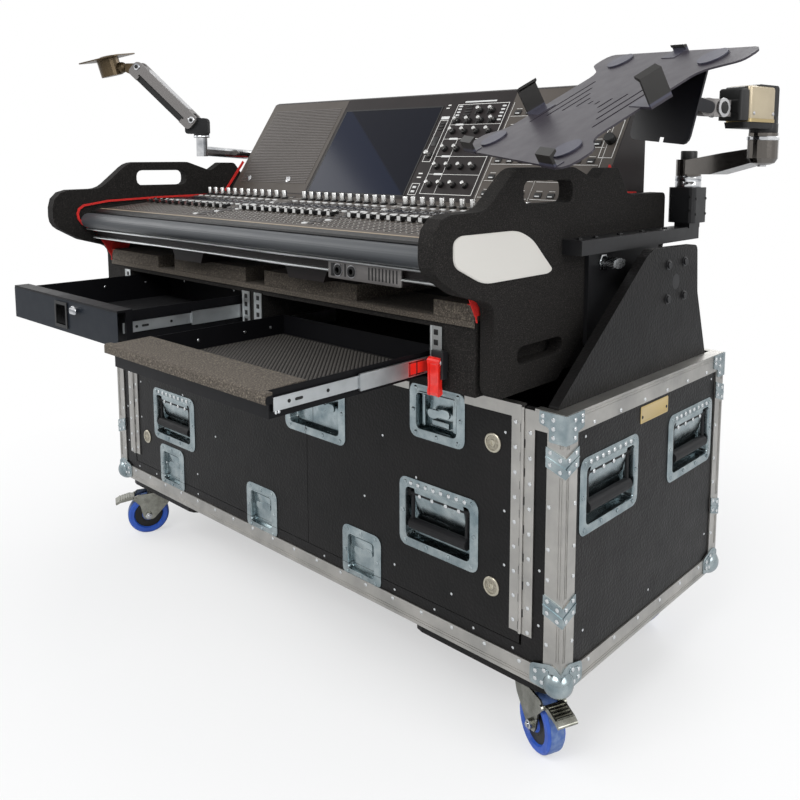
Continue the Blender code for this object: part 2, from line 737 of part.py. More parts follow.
def make_caster(name, side, end, heading):
    """Swivel fork, wheel and brake pedal. Heading is the way the wheel trails, in degrees."""
    swivel = Vector((CASTER_X * side, CASTER_Y * end, BOARD_Z0 - 0.003 - GAP))
    turn = Matrix.Rotation(math.radians(heading), 4, "Z").to_quaternion()
    axle_z = FLOOR_Z + WHEEL_RADIUS - swivel.z
    leg_in = WHEEL_WIDTH / 2 + FORK_GAP
    leg_out = leg_in + FORK_SHEET
    bridge = -0.012
    pedal_x, pedal_z = PEDAL_PIN
    fork = rod((0, 0, 0), (0, 0, -0.008), 0.030, 20)
    fuse(fork, rod((0, 0, -0.007), (0, 0, bridge - FORK_SHEET), 0.022, 16, 0.026))
    crown = [(-0.026, leg_out, 0.010), (-0.026, -leg_out, 0.010), (0.040, -leg_out, 0.004),
             (0.040, leg_out, 0.004)]
    fuse(fork, prism(rounded(crown, 2), "Z", bridge, bridge - FORK_SHEET))
    for way in (-1, 1):
        web = [(-0.024, bridge, 0.0), (pedal_x - 0.006, bridge, 0.004),
               (pedal_x + 0.007, pedal_z, 0.004), (pedal_x, pedal_z - 0.007, 0.004),
               (CASTER_TRAIL + 0.020, pedal_z - 0.020, 0.010),
               (CASTER_TRAIL + 0.012, axle_z - 0.012, 0.012),
               (CASTER_TRAIL - 0.012, axle_z - 0.012, 0.012), (-0.012, bridge - 0.030, 0.015)]
        fuse(fork, prism(rounded(web, 2), "Y", leg_in * way, leg_out * way))
        fuse(fork, rod((CASTER_TRAIL, (leg_out - 0.001) * way, axle_z),
                       (CASTER_TRAIL, (leg_out + 0.005) * way, axle_z), 0.008, 12))
        pivot_at = Vector((pedal_x, leg_out * way, pedal_z))
        fuse(fork, rod(pivot_at - Vector((0, 0.001 * way, 0)),
                       pivot_at + Vector((0, 0.003 * way, 0)), 0.005, 10))
    finish(fork, "caster_fork_" + name, "zinc", pivot=swivel, turn=turn, built_at_pivot=True)

    axle = swivel + turn @ Vector((CASTER_TRAIL, 0, axle_z))
    half = WHEEL_WIDTH / 2
    hub_half = leg_in - GAP
    profile = [(0.014, -hub_half), (0.018, -half + 0.006), (0.034, -half + 0.005),
               (0.037, -half), (WHEEL_RADIUS - 0.004, -half), (WHEEL_RADIUS, -half + 0.004),
               (WHEEL_RADIUS, half - 0.004), (WHEEL_RADIUS - 0.004, half), (0.037, half),
               (0.034, half - 0.005), (0.018, half - 0.006), (0.014, hub_half)]
    wheel = turned(profile, 24)
    shape(wheel, Matrix.Rotation(math.radians(90), 4, "X"))
    finish(wheel, "caster_wheel_" + name, "blue_tyre", pivot=axle, turn=turn, built_at_pivot=True)

    hinge = swivel + turn @ Vector((pedal_x, 0, pedal_z))
    reach = 0.048
    pad = [(-0.003, 0.003, 0.002), (0.014, 0.006, 0.003), (reach - 0.010, 0.000, 0.003),
           (reach, -0.005, 0.002), (reach - 0.002, -0.011, 0.002), (reach - 0.012, -0.006, 0.002),
           (0.006, -0.002, 0.002)]
    inner = leg_in - GAP
    pedal = prism(rounded(pad, 2), "Y", -inner, inner)
    finish(pedal, "brake_pedal_" + name, "zinc", pivot=hinge, turn=turn, built_at_pivot=True)


# Uprights and the flip pivot

def make_upright(name, side):
    """Plywood upright that stands inside the tub and carries the flip pivot."""
    base = FLOOR_TOP + GAP
    front = -WALL_OUT_Y + PANEL + GAP
    back = WALL_OUT_Y - PANEL - GAP
    top = PIVOT_Z + 0.067
    outline = [(front, base, 0), (front, RIM + 0.004, 0.004), (from_front(0.281), top - 0.012, 0.02),
               (from_front(0.306), top, 0.01), (from_front(0.482), top - 0.004, 0.012),
               (from_front(0.490), PIVOT_Z - 0.030, 0.03), (back - 0.020, RIM, 0.01),
               (back, base, 0)]
    plate = prism(rounded(outline, 3), "X", UPRIGHT_IN_X * side, UPRIGHT_OUT_X * side)
    hole = rod(((UPRIGHT_IN_X - 0.01) * side, PIVOT_Y, PIVOT_Z),
               ((UPRIGHT_OUT_X + 0.01) * side, PIVOT_Y, PIVOT_Z), PIVOT_RADIUS + PIVOT_CLEAR, 24)
    cut(plate, hole)
    return finish(plate, "upright_" + name, "laminate")


def make_side_bracket(name, side):
    """Steel bar, hanger plate and pivot pin on a cheek, with the block for a display arm."""
    inner = (CHEEK_OUT_X + GAP) * side
    sheet = 0.008
    plate_out = inner + sheet * side
    bar_out = inner + 0.038 * side
    bar_z0 = RIM + 0.227
    bar_z1 = bar_z0 + 0.025
    block_y = from_front(ARM_BLOCK_FROM_FRONT)
    block_y0 = block_y - ARM_BLOCK[1] / 2
    block_y1 = block_y + ARM_BLOCK[1] / 2
    bar = box(inner, bar_out, from_front(0.120), block_y1 - 0.004, bar_z0, bar_z1)
    hanger = [(from_front(0.190), RIM + 0.060, 0.006), (from_front(0.250), RIM + 0.062, 0.02),
              (from_front(0.440), PIVOT_Z - 0.040, 0.02), (from_front(0.440), bar_z0 + 0.004, 0),
              (from_front(0.190), bar_z0 + 0.004, 0)]
    fuse(bar, prism(rounded(hanger, 3), "X", inner, plate_out))
    fuse(bar, rod((plate_out - 0.002 * side, PIVOT_Y, PIVOT_Z),
                  ((UPRIGHT_IN_X - GAP) * side, PIVOT_Y, PIVOT_Z), 0.030, 24))
    fuse(bar, rod(((UPRIGHT_IN_X - 0.01) * side, PIVOT_Y, PIVOT_Z),
                  (UPRIGHT_OUT_X * side, PIVOT_Y, PIVOT_Z), PIVOT_RADIUS, 24))
    block_x = ARM_BLOCK_X * side
    block_z0 = RIM + ARM_BLOCK_ABOVE_RIM
    block_z1 = block_z0 + ARM_BLOCK[2]
    riser = box(block_x - 0.016, block_x + 0.016, block_y0 + 0.010, block_y1 - 0.006,
                bar_z1 - 0.002, block_z0 + 0.002)
    fuse(bar, riser)
    corner = rounded_rect(block_x - ARM_BLOCK[0] / 2, block_x + ARM_BLOCK[0] / 2, block_y0, block_y1,
                          0.010)
    fuse(bar, prism(corner, "Z", block_z0, block_z1))
    fuse(bar, rod((block_x, block_y, block_z1 - 0.001), (block_x, block_y, block_z1 + COLLAR_HEIGHT),
                  COLLAR_RADIUS, 24))
    return finish(bar, "side_bracket_" + name, "black_steel")


def make_flip_lock(name, side):
    """Winged clamp that holds the cradle level. It turns about X."""
    inner = (CHEEK_OUT_X + 2 * GAP + 0.008) * side
    y = from_front(0.236)
    z = RIM + 0.205
    head = inner + 0.024 * side
    spindle = rod((inner, y, z), (head, y, z), 0.009, 14)
    wing = [(-0.020, -0.005, 0.004), (-0.006, -0.009, 0.004), (0.006, -0.009, 0.004),
            (0.020, -0.005, 0.004), (0.020, 0.005, 0.004), (0.006, 0.009, 0.004),
            (-0.006, 0.009, 0.004), (-0.020, 0.005, 0.004)]
    blade = prism(rounded(wing, 2), "X", head - 0.001 * side, head + 0.009 * side)
    shape(blade, Matrix.Translation((0, y, z)))
    fuse(spindle, blade)
    return finish(spindle, "flip_lock_" + name, "zinc", pivot=(inner, y, z))


# Cradle

def cheek_outline():
    """Side view of a cheek: nose, handle hump, rear horn and front leg."""
    corners = [(-0.058, 0.000, 0.020), (-0.058, 0.150, 0.024), (-0.134, 0.172, 0.040),
               (-0.197, 0.208, 0.035), (-0.196, 0.289, 0.040), (-0.082, 0.291, 0.050),
               (-0.008, 0.354, 0.050), (0.152, 0.355, 0.040), (0.220, 0.332, 0.014),
               (0.252, 0.353, 0.012), (0.294, 0.353, 0.014), (0.332, 0.304, 0.020),
               (0.478, 0.304, 0.010), (0.478, 0.200, 0.020), (0.440, 0.160, 0.030),
               (0.250, 0.112, 0.040), (0.204, 0.076, 0.030), (0.112, 0.000, 0.015)]
    placed = [(from_front(a), CABINET_Z0 + b, radius) for a, b, radius in corners]
    return rounded(placed, 3)


def console_outline(grow=0.0):
    """Side view of the console, grown for the liner or shrunk for its hollow."""
    corners = [(CONSOLE_FRONT, 0.0), (CONSOLE_FRONT, DECK_FRONT[1] - 0.006), DECK_FRONT, DECK_BACK,
               BRIDGE_TOP, (BRIDGE_TOP[0] + 0.012, BRIDGE_TOP[1] + 0.004),
               (CONSOLE_BACK, BRIDGE_TOP[1] - 0.012), (CONSOLE_BACK, 0.010),
               (CONSOLE_BACK - 0.012, 0.0)]
    placed = [Vector((from_front(a), CONSOLE_Z0 + b)) for a, b in corners]
    if grow == 0.0:
        return [tuple(p) for p in placed]
    grown = []
    for index, here in enumerate(placed):
        before = (here - placed[index - 1]).normalized()
        after = (placed[(index + 1) % len(placed)] - here).normalized()
        normal = Vector((-before.y - after.y, before.x + after.x)).normalized()
        grown.append(tuple(here + normal * grow / max(0.6, normal.dot(Vector((-after.y, after.x))))))
    return grown


def make_cheek(name, side):
    """Foam-coated cheek with its carry slots and the liner pad on its inner face."""
    cheek = prism(cheek_outline(), "X", CHEEK_IN_X * side, CHEEK_OUT_X * side)
    slot_x = (CHEEK_IN_X - 0.02) * side
    slot_end = (CHEEK_OUT_X + 0.02) * side
    for y0, y1, z0, z1 in CARRY_SLOTS:
        hole = rounded_rect(from_front(y0), from_front(y1), CABINET_Z0 + z0, CABINET_Z0 + z1,
                            CARRY_CORNER)
        cut(cheek, prism(hole, "X", slot_x, slot_end))
    cheek = settle_bevel(cheek, 0.008, 2)
    liner = prism(console_outline(LINER), "X", (HALF_CONSOLE + GAP) * side,
                  (CHEEK_IN_X + 0.002) * side)
    shelf = CABINET_Z0 + 0.300
    above = CONSOLE_Z0 + BRIDGE_TOP[1] + 4 * LINER
    cut(liner, box(0, HALF_W * side, DECK_BACK[0] + FRONT + 0.022, WALL_OUT_Y, shelf, above))
    fuse(cheek, liner)
    return finish(cheek, "cheek_" + name, "black_foam")


def settle_bevel(obj, width, segments):
    """Bevel that is written into the mesh, for a solid that is fused afterwards."""
    soften(obj, width, segments, 40)
    graph = bpy.context.evaluated_depsgraph_get()
    settled = bpy.data.meshes.new_from_object(obj.evaluated_get(graph))
    obj.modifiers.clear()
    obj.data = settled
    return obj


def bay_limits(side):
    """X limits of one drawer bay."""
    inner = DIVIDER / 2 * side
    outer = inner + BAY_WIDTH * side
    return (min(inner, outer), max(inner, outer))


def make_cabinet():
    """Drawer cabinet under the console, with the rack strips and the outer slide members."""
    y0 = from_front(CABINET_FRONT)
    y1 = from_front(CABINET_BACK)
    half = CABINET_HALF
    cabinet = box(-half, half, y0, y1, CABINET_Z0, CABINET_Z1)
    for side in (-1, 1):
        x0, x1 = bay_limits(side)
        cut(cabinet, box(x0, x1, y0 - 0.02, y1 - 0.010, CABINET_Z0 + BAY_FLOOR,
                         CABINET_Z1 - BAY_ROOF))
        for wall, way in ((x0, 1), (x1, -1)):
            z = slide_height(side)
            fuse(cabinet, box(wall - 0.001 * way, wall + SLIDE_MEMBER * way, y0 + 0.004,
                              y0 + 0.004 + SLIDE_LENGTH, z - 0.016, z + 0.016))
            strip_in = wall
            strip_out = wall - 0.024 * way
            fuse(cabinet, box(strip_in, strip_out, y0 - 0.0015, y0 + 0.001,
                              CABINET_Z0 + BAY_FLOOR + 0.002, CABINET_Z1 - BAY_ROOF + 0.002))
    for side in (-1, 1):
        pad_in = 0.488 * side
        fuse(cabinet, box(pad_in, (half - 0.002) * side, y0 + 0.001, y0 + 0.120, CABINET_Z1 - 0.002,
                          CABINET_Z1 + PAD_HEIGHT * 0.85))
    return finish(cabinet, "drawer_cabinet", "black_foam")


def slide_height(side):
    """Height of the slides of one drawer."""
    return RIM + 0.0775 if side < 0 else RIM + 0.0535


def make_pad(name, x0, x1):
    """Foam block that the console rests on."""
    y0 = from_front(CABINET_FRONT) + 0.004
    pad = box(x0, x1, y0, y0 + PAD_DEPTH, PAD_Z0, PAD_Z1)
    soften(pad, 0.003, 1)
    return finish(pad, name, "pad_foam")


# Mixing console

def make_console():
    """Console housing: deck, sloped bridge, screen recess, feet and socket panel."""
    body = prism(console_outline(), "X", -HALF_CONSOLE, HALF_CONSOLE)
    body = settle_bevel(body, 0.003, 1)
    inner = HALF_CONSOLE - CONSOLE_SKIN
    cut(body, prism(console_outline(-CONSOLE_SKIN), "X", -inner, inner))
    cut(body, box(-SERVICE_HALF, SERVICE_HALF, from_front(SERVICE_FRONT), from_front(SERVICE_BACK),
                  CONSOLE_Z0 - CONSOLE_SKIN, CONSOLE_Z0 + 2 * CONSOLE_SKIN))
    cut(body, screen_block(0.0003, SCREEN_THICK - 0.001, 0.02))
    for x0, x1 in ((-0.262, -0.128), (0.128, 0.262)):
        foot = [(x0, CONSOLE_Z0 + 0.012), (x0 + 0.018, PAD_Z1 + GAP), (x1 - 0.018, PAD_Z1 + GAP),
                (x1, CONSOLE_Z0 + 0.012)]
        fuse(body, prism(foot, "Y", from_front(-0.086), from_front(-0.020)))
    fuse(body, box(0.285, 0.458, from_front(-0.108), from_front(-0.060), CONSOLE_Z0 - 0.009,
                   CONSOLE_Z0 + 0.022))
    return finish(body, "console_body", "console")


def bridge_frame():
    """Matrix whose X runs along the console, Y up the bridge slope and Z out of it."""
    low = Vector((0, from_front(DECK_BACK[0]), CONSOLE_Z0 + DECK_BACK[1]))
    high = Vector((0, from_front(BRIDGE_TOP[0]), CONSOLE_Z0 + BRIDGE_TOP[1]))
    up = (high - low).normalized()
    out = Vector((1, 0, 0)).cross(up)
    frame = Matrix((Vector((1, 0, 0)), up, out)).transposed().to_4x4()
    frame.translation = low
    return frame


def screen_block(margin, depth, above):
    """Block of the screen's outline, from a depth under the slope to a height above it."""
    width, height = SCREEN_SIZE
    start = 0.010
    outline = rounded_rect(SCREEN_LEFT - margin, SCREEN_LEFT + width + margin, start - margin,
                           start + height + margin, 0.004, 2)
    block = prism(outline, "Z", -depth, above)
    return shape(block, bridge_frame())


def make_screen():
    glass = screen_block(0.0, SCREEN_THICK - 0.001 - GAP, 0.001)
    return finish(glass, "screen", "screen")


def make_armrest():
    """Round-fronted bar along the console's front edge."""
    y_back = from_front(CONSOLE_FRONT) - GAP
    z = CONSOLE_Z0 + 0.043
    outline = [(y_back, z - ARMREST_RADIUS)]
    y_centre = from_front(CONSOLE_FRONT) - ARMREST_RADIUS - 0.001
    steps = 14
    for step in range(steps + 1):
        angle = math.radians(-90 - 180 * step / steps)
        outline.append((y_centre + ARMREST_RADIUS * math.cos(angle),
                        z + ARMREST_RADIUS * math.sin(angle)))
    outline.append((y_back, z + ARMREST_RADIUS))
    bar = prism(outline, "X", -HALF_CONSOLE + 0.001, HALF_CONSOLE - 0.001)
    return finish(bar, "armrest", "armrest")


# Drawers

def drawer_limits(side):
    """X limits of a drawer box between its slides."""
    x0, x1 = bay_limits(side)
    return x0 + SLIDE_TOTAL, x1 - SLIDE_TOTAL


def make_left_drawer():
    """Lockable drawer: open box, painted front with a finger lip, and inner slide members."""
    x0, x1 = drawer_limits(-1)
    bay0, bay1 = bay_limits(-1)
    y_front = from_front(CABINET_FRONT) - LEFT_DRAWER_OUT - DRAWER_FRONT_THICK
    y0 = y_front + DRAWER_FRONT_THICK
    z0 = CABINET_Z0 + BAY_FLOOR + 0.013
    z1 = z0 + LEFT_DRAWER_HEIGHT
    drawer = box(x0, x1, y_front + 0.002, y0 + LEFT_DRAWER_DEPTH, z0 + 0.003, z1 - 0.004)
    cut(drawer, box(x0 + SHEET, x1 - SHEET, y0, y0 + LEFT_DRAWER_DEPTH - SHEET, z0 + 0.003 + SHEET,
                    z1 + 0.02))
    side_gap = DRAWER_FRONT_SIDE_GAP
    fuse(drawer, box(bay0 + side_gap, bay1 - side_gap, y_front, y0 + 0.0005, z0, z1))
    fuse(drawer, box(bay0 + side_gap, bay1 - side_gap, y_front - 0.016, y_front + 0.002,
                     z1 - 0.004, z1))
    add_inner_members(drawer, -1, y0)
    latch_x = (bay0 + bay1) / 2
    latch_z = z0 + LATCH_RISE
    rim = LATCH_SQUARE / 2
    fuse(drawer, prism(rounded_rect(latch_x - rim, latch_x + rim, latch_z - rim, latch_z + rim,
                                    0.003, 2), "Y", y_front - 0.0015, y_front + 0.001))
    well = rim - 0.005
    cut(drawer, box(latch_x - well, latch_x + well, y_front - 0.01, y_front + 0.008,
                    latch_z - well, latch_z + well))
    return finish(drawer, "drawer_left", "drawer_paint", pivot=(latch_x, y_front, z0))


def add_inner_members(drawer, side, y_start):
    """Inner slide members on both sides of a drawer."""
    x0, x1 = drawer_limits(side)
    z = slide_height(side)
    for wall, way in ((x0, -1), (x1, 1)):
        fuse(drawer, box(wall - 0.0005 * way, wall + SLIDE_MEMBER * way, y_start, y_start + SLIDE_LENGTH,
                         z - 0.010, z + 0.010))


def make_slide_member(name, side, out, wall_side):
    """Middle member of a telescopic slide. It moves half as far as its drawer."""
    bay = bay_limits(side)
    wall = bay[1] if wall_side > 0 else bay[0]
    way = -wall_side
    start = wall + (SLIDE_MEMBER + 0.0005) * way
    end = wall + (SLIDE_TOTAL - SLIDE_MEMBER - 0.0005) * way
    z = slide_height(side)
    y0 = from_front(CABINET_FRONT) + 0.004 - out / 2
    member = box(start, end, y0, y0 + SLIDE_LENGTH, z - 0.013, z + 0.013)
    return finish(member, name, "zinc", pivot=(start, y0, z))


def make_drawer_latch():
    """Paddle of the slam latch in the left drawer's front. It hangs from its top edge."""
    bay0, bay1 = bay_limits(-1)
    x = (bay0 + bay1) / 2
    y_front = from_front(CABINET_FRONT) - LEFT_DRAWER_OUT - DRAWER_FRONT_THICK
    z = CABINET_Z0 + BAY_FLOOR + 0.013 + LATCH_RISE
    half = LATCH_SQUARE / 2 - 0.005 - GAP
    pin_y = y_front + 0.0040
    pin_z = z + half - 0.0025
    paddle = rod((x - half, pin_y, pin_z), (x + half, pin_y, pin_z), 0.0025, 10)
    plate = rounded_rect(x - half + 0.001, x + half - 0.001, z - half + 0.002, pin_z, 0.003, 2)
    fuse(paddle, prism(plate, "Y", y_front + 0.002, y_front + 0.0055))
    return finish(paddle, "drawer_latch_paddle", "rubber", pivot=(x, pin_y, pin_z))


def make_right_drawer():
    """Open-topped laptop drawer with a foam-covered hand rest over its front."""
    x0, x1 = drawer_limits(1)
    bay0, bay1 = bay_limits(1)
    y_front = from_front(CABINET_FRONT) - RIGHT_DRAWER_OUT
    z0 = CABINET_Z0 + BAY_FLOOR + DRAWER_FLOOR_GAP
    z1 = z0 + RIGHT_DRAWER_HEIGHT
    y1 = y_front + RIGHT_DRAWER_DEPTH
    drawer = box(x0, x1, y_front, y1, z0, z1)
    cut(drawer, box(x0 + SHEET, x1 - SHEET, y_front + SHEET, y1 - SHEET, z0 + SHEET, z1 + 0.02))
    gap = DRAWER_FRONT_SIDE_GAP
    rest_z = z0 + 0.026
    rest = [(y_front - 0.004, rest_z, 0.0), (y_front + 0.066, rest_z + 0.004, 0.002),
            (y_front + 0.066, rest_z + 0.012, 0.004), (y_front - 0.004, rest_z + 0.010, 0.0)]
    fuse(drawer, prism(rounded(rest, 2), "X", x0, x1))
    nose = [(y_front - 0.012, rest_z - 0.002, 0.003), (y_front - GAP, rest_z - 0.002, 0.0),
            (y_front - GAP, rest_z + 0.010, 0.0), (y_front - 0.012, rest_z + 0.009, 0.004)]
    fuse(drawer, prism(rounded(nose, 2), "X", bay0 + gap, bay1 - gap))
    add_inner_members(drawer, 1, y_front + 0.004)
    return finish(drawer, "drawer_right", "drawer_paint",
                  pivot=((x0 + x1) / 2, y_front, z0))


def make_red_lever():
    """Drawer lock lever hanging on the right rack strip."""
    x = bay_limits(1)[1] + 0.0195
    y_back = from_front(CABINET_FRONT) - 0.0015 - GAP
    z = RIM + 0.064
    width = 0.006
    y = y_back - 0.0089
    boss = rod((x - width - 0.001, y, z), (x + width + 0.001, y, z), 0.009, 14)
    blade = [(y - 0.0055, z, 0), (y + 0.0050, z, 0), (y + 0.0035, z - 0.038, 0.002),
             (y + 0.0060, z - 0.054, 0.003), (y - 0.0060, z - 0.057, 0.004),
             (y - 0.0040, z - 0.038, 0.002)]
    fuse(boss, prism(rounded(blade, 2), "X", x - width, x + width))
    return finish(boss, "drawer_lock_lever", "red_plastic", pivot=(x, y, z))


# Display arms

def arm_base(side):
    """Top of an arm's collar."""
    top = RIM + ARM_BLOCK_ABOVE_RIM + ARM_BLOCK[2] + COLLAR_HEIGHT + GAP
    return Vector((ARM_BLOCK_X * side, from_front(ARM_BLOCK_FROM_FRONT), top))


def facing(vector):
    """Turn that takes +X to a horizontal direction."""
    return Matrix.Rotation(math.atan2(vector.y, vector.x), 4, "Z").to_quaternion()


RIGHT_LINK = Vector((0.198, -0.139, 0))          # base axis to elbow axis
RIGHT_REACH = Vector((-0.033, -0.1624, 0))       # elbow axis to the tilting head
HEAD_RISE = 0.0366
TRAY_FROM_HEAD = Vector((-0.1305, -0.1116, 0.0059))
TRAY_NORMAL = Vector((-0.173, -0.478, 0.861)).normalized()
TRAY_ACROSS = Vector((0.885, -0.460, -0.077)).normalized()


def tray_frame():
    """Matrix whose X runs across the tray, Y up its slope and Z out of its face."""
    normal = TRAY_NORMAL
    across = (TRAY_ACROSS - normal * TRAY_ACROSS.dot(normal)).normalized()
    up = normal.cross(across)
    frame = Matrix((across, up, normal)).transposed().to_4x4()
    frame.translation = right_head() + TRAY_FROM_HEAD
    return frame


def right_elbow():
    """Foot of the upper arm, on the elbow's axis."""
    return arm_base(1) + RIGHT_LINK + Vector((0, 0, LINK_HEIGHT + ELBOW_RISE + GAP))


def right_head():
    """Middle of the tilting joint behind the tray."""
    return right_elbow() + RIGHT_REACH + Vector((0, 0, HEAD_RISE))


def make_right_arm():
    """Arm of the laptop tray: lower link, covered upper arm, tilting head and tray."""
    base = arm_base(1)
    run = RIGHT_LINK
    end = run.length
    link = rod((0, 0, 0), (0, 0, LINK_HEIGHT), COLLAR_RADIUS, 20)
    web = [(0, 0.003), (0.45 * end, 0.005), (end, 0.028), (end, 0.052), (0.6 * end, 0.044),
           (0, LINK_HEIGHT - 0.003)]
    fuse(link, prism(web, "Y", -0.72 * ELBOW_RADIUS, 0.72 * ELBOW_RADIUS))
    fuse(link, rod((0, 0, LINK_HEIGHT - 0.001), (0, 0, LINK_HEIGHT + 0.016), 0.015, 16))
    post_top = LINK_HEIGHT + ELBOW_RISE
    post = turned([(0.012, 0.024), (0.020, 0.027), (ELBOW_RADIUS, 0.035),
                   (ELBOW_RADIUS, post_top - 0.010), (ELBOW_RADIUS - 0.001, post_top - 0.009),
                   (ELBOW_RADIUS - 0.001, post_top)], 20)
    fuse(link, shape(post, Matrix.Translation((end, 0, 0))))
    finish(link, "right_arm_link", "black_steel", pivot=base, turn=facing(run),
           built_at_pivot=True)

    reach = RIGHT_REACH
    socket = reach.length - STEM_LENGTH - GAP
    arm = rod((0, 0, 0), (0, 0, 0.026), 0.0225, 20)
    fuse(arm, prism(rounded_rect(-0.010, 0.052, 0.022, 0.077, 0.006), "Y", -0.020, 0.020))
    shell = [(-0.014, 0.012, 0.006), (0.040, 0.014, 0.012), (socket - 0.004, HEAD_RISE - 0.014, 0.008),
             (socket, HEAD_RISE - 0.006, 0.0), (socket, HEAD_RISE + 0.012, 0.006),
             (socket - 0.016, 0.072, 0.010), (0.046, 0.076, 0.0), (-0.014, 0.060, 0.0)]
    fuse(arm, prism(rounded(shell, 2), "Y", -0.017, 0.017))
    finish(arm, "right_arm_upper", "gold_plate", pivot=right_elbow(), turn=facing(reach),
           built_at_pivot=True)

    ring = right_head()
    joint = rod(-TRAY_ACROSS * HEAD_HALF, TRAY_ACROSS * HEAD_HALF, HEAD_RADIUS, 20)
    fork = box(0.040, STEM_LENGTH - 0.006, -0.0085, 0.0085, -0.0130, -0.0055)
    plan = [(0.0, -0.006), (0.018, -0.006), (0.026, -0.010), (0.046, -0.010), (0.046, 0.010),
            (0.026, 0.010), (0.018, 0.006), (0.0, 0.006)]
    fuse(fork, box(0.040, STEM_LENGTH - 0.006, -0.0085, 0.0085, 0.0055, 0.0130))
    fuse(fork, prism(plan, "Z", -0.0135, 0.0135))
    fuse(fork, rod((0.044, 0, 0), (STEM_LENGTH, 0, 0), 0.0050, 12))
    shape(fork, facing(-reach).to_matrix().to_4x4())
    fuse(joint, fork)
    finish(joint, "right_arm_head", "grey_paint", pivot=ring, built_at_pivot=True)

    tray = make_tray_solid()
    finish(tray, "laptop_tray", "tray_paint", pivot=ring, built_at_pivot=True)
    tray.data.transform(Matrix.Translation(-ring))


def tray_outline():
    """H-shaped outline: two rounded bars joined by a straight waist."""
    wide, low, shoulder = TRAY_NEAR
    waist, waist_low, waist_high = TRAY_WAIST
    far_wide, far_low, far_high = TRAY_FAR
    half = [(wide, low, 0.022), (wide, shoulder, 0.022), (waist, waist_low, 0.030),
            (waist, waist_high, 0.030), (far_wide, far_low, 0.018), (far_wide, far_high, 0.018)]
    return rounded(half + [(-a, b, radius) for a, b, radius in reversed(half)], 3)


def make_tray_solid():
    """H-shaped tray with slots, pads and five hooks, and the plate that hangs from it."""
    tray = prism(tray_outline(), "Z", -TRAY_THICK, 0)
    for index in range(TRAY_SLOTS):
        x = TRAY_SLOT_PITCH * (index + 0.45)
        widest = TRAY_SLOT_PITCH * (TRAY_SLOTS - 0.55)
        half = 0.004 + 0.066 * (x / widest) ** 1.6
        for side in (-1, 1):
            hole = rounded_rect(x * side - 0.0025, x * side + 0.0025, -half, half, 0.0020, 1)
            cut(tray, prism(hole, "Z", -0.01, 0.01))
    for x in (-0.124, 0.124):
        for y in (TRAY_NEAR[1] + 0.042, TRAY_FAR[2] - 0.029):
            fuse(tray, rod((x, y, -0.001), (x, y, 0.003), TRAY_PAD_RADIUS, 16))
    near = TRAY_NEAR[1] - 0.0015
    side = TRAY_WAIST[0] + 0.006
    far = TRAY_FAR[2] + 0.005
    fuse(tray, tray_hook(-side, -0.030, 0, 0.046, 0.018, 0.012, 0.040))
    fuse(tray, tray_hook(side + 0.019, 0.011, 180, 0.043, 0.019, 0.012, 0.055))
    fuse(tray, tray_hook(0.007, far, -90, 0.009, 0.017, 0.006, 0.030))
    for x in (-0.140, 0.140):
        fuse(tray, tray_hook(x, near, 90, 0.018, 0.022, 0.012, 0.016))
    fuse(tray, *hanging_plate())
    shape(tray, tray_frame())
    return tray


def tray_hook(x, y, turn, height, half, lip, tongue):
    """Bent strip that stops a laptop from sliding off. Its lip leans over the tray."""
    lean = 0.4 * lip
    hook = [(0, -TRAY_THICK), (0, height), (lip, height + lean),
            (lip, height + lean - HOOK_SHEET), (HOOK_SHEET, height - HOOK_SHEET),
            (HOOK_SHEET, 0.001), (tongue, 0.001), (tongue, -TRAY_THICK)]
    strip = prism(hook, "Y", -half, half)
    place = Matrix.Translation((x, y, 0)) @ Matrix.Rotation(math.radians(turn), 4, "Z")
    return shape(strip, place)


def hanging_plate():
    """Plate that slopes down behind the tray, with the two ears that hold the tilting head."""
    slope = math.radians(HANG_SLOPE)
    down = Vector((0, -math.cos(slope), -math.sin(slope)))
    behind = Vector((1, 0, 0)).cross(down)
    place = Matrix((Vector((1, 0, 0)), down, behind)).transposed().to_4x4()
    place.translation = Vector((0, HANG_FROM, -TRAY_THICK / 2))
    x0, x1 = HANG_SPAN
    notch = (x0 + x1) / 2 + 0.010
    outline = [(x0, 0, 0.0), (x1, 0, 0.0), (x1, HANG_LENGTH, 0.014), (notch + 0.007, HANG_LENGTH, 0),
               (notch + 0.007, HANG_LENGTH - 0.008, 0), (notch - 0.007, HANG_LENGTH - 0.008, 0),
               (notch - 0.007, HANG_LENGTH, 0), (x0, HANG_LENGTH, 0.014)]
    plate = prism(rounded(outline, 3), "Z", 0, TRAY_THICK)
    head = (tray_frame().inverted() @ right_head()) - place.translation
    at = Vector((head.x, head.dot(down), head.dot(behind)))
    pieces = [plate]
    for way in (-1, 1):
        near = at.x + (HEAD_HALF + GAP) * way
        ear = [(at.y - 0.011, TRAY_THICK - 0.001, 0.0), (at.y + 0.011, TRAY_THICK - 0.001, 0.0),
               (at.y + 0.009, at.z + 0.009, 0.008), (at.y - 0.009, at.z + 0.009, 0.008)]
        pieces.append(prism(rounded(ear, 3), "X", near, near + EAR_THICK * way))
    return [shape(piece, place) for piece in pieces]


LEFT_LINK = Vector((0.038, -0.320, 0))           # base axis to elbow axis
LEFT_REACH = Vector((-0.137, -0.093, 0))         # elbow axis to the head of the raised arm
LEFT_RISE = 0.138                                # lift pivot to the head
LIFT_PIVOT = Vector((0.020, 0, 0.0455))          # lift pivot in the elbow block
SOCKET_TOP = 0.082                               # top of the elbow's socket above the collar


def plate_lean():
    """Place of the display plate's mounting on the head, as it leans on its ball."""
    sideways, outwards = (math.radians(angle) for angle in PLATE_LEAN)
    lean = Matrix.Rotation(sideways, 4, "X") @ Matrix.Rotation(outwards, 4, "Y")
    return Matrix.Translation((0.083, 0, 0)) @ lean


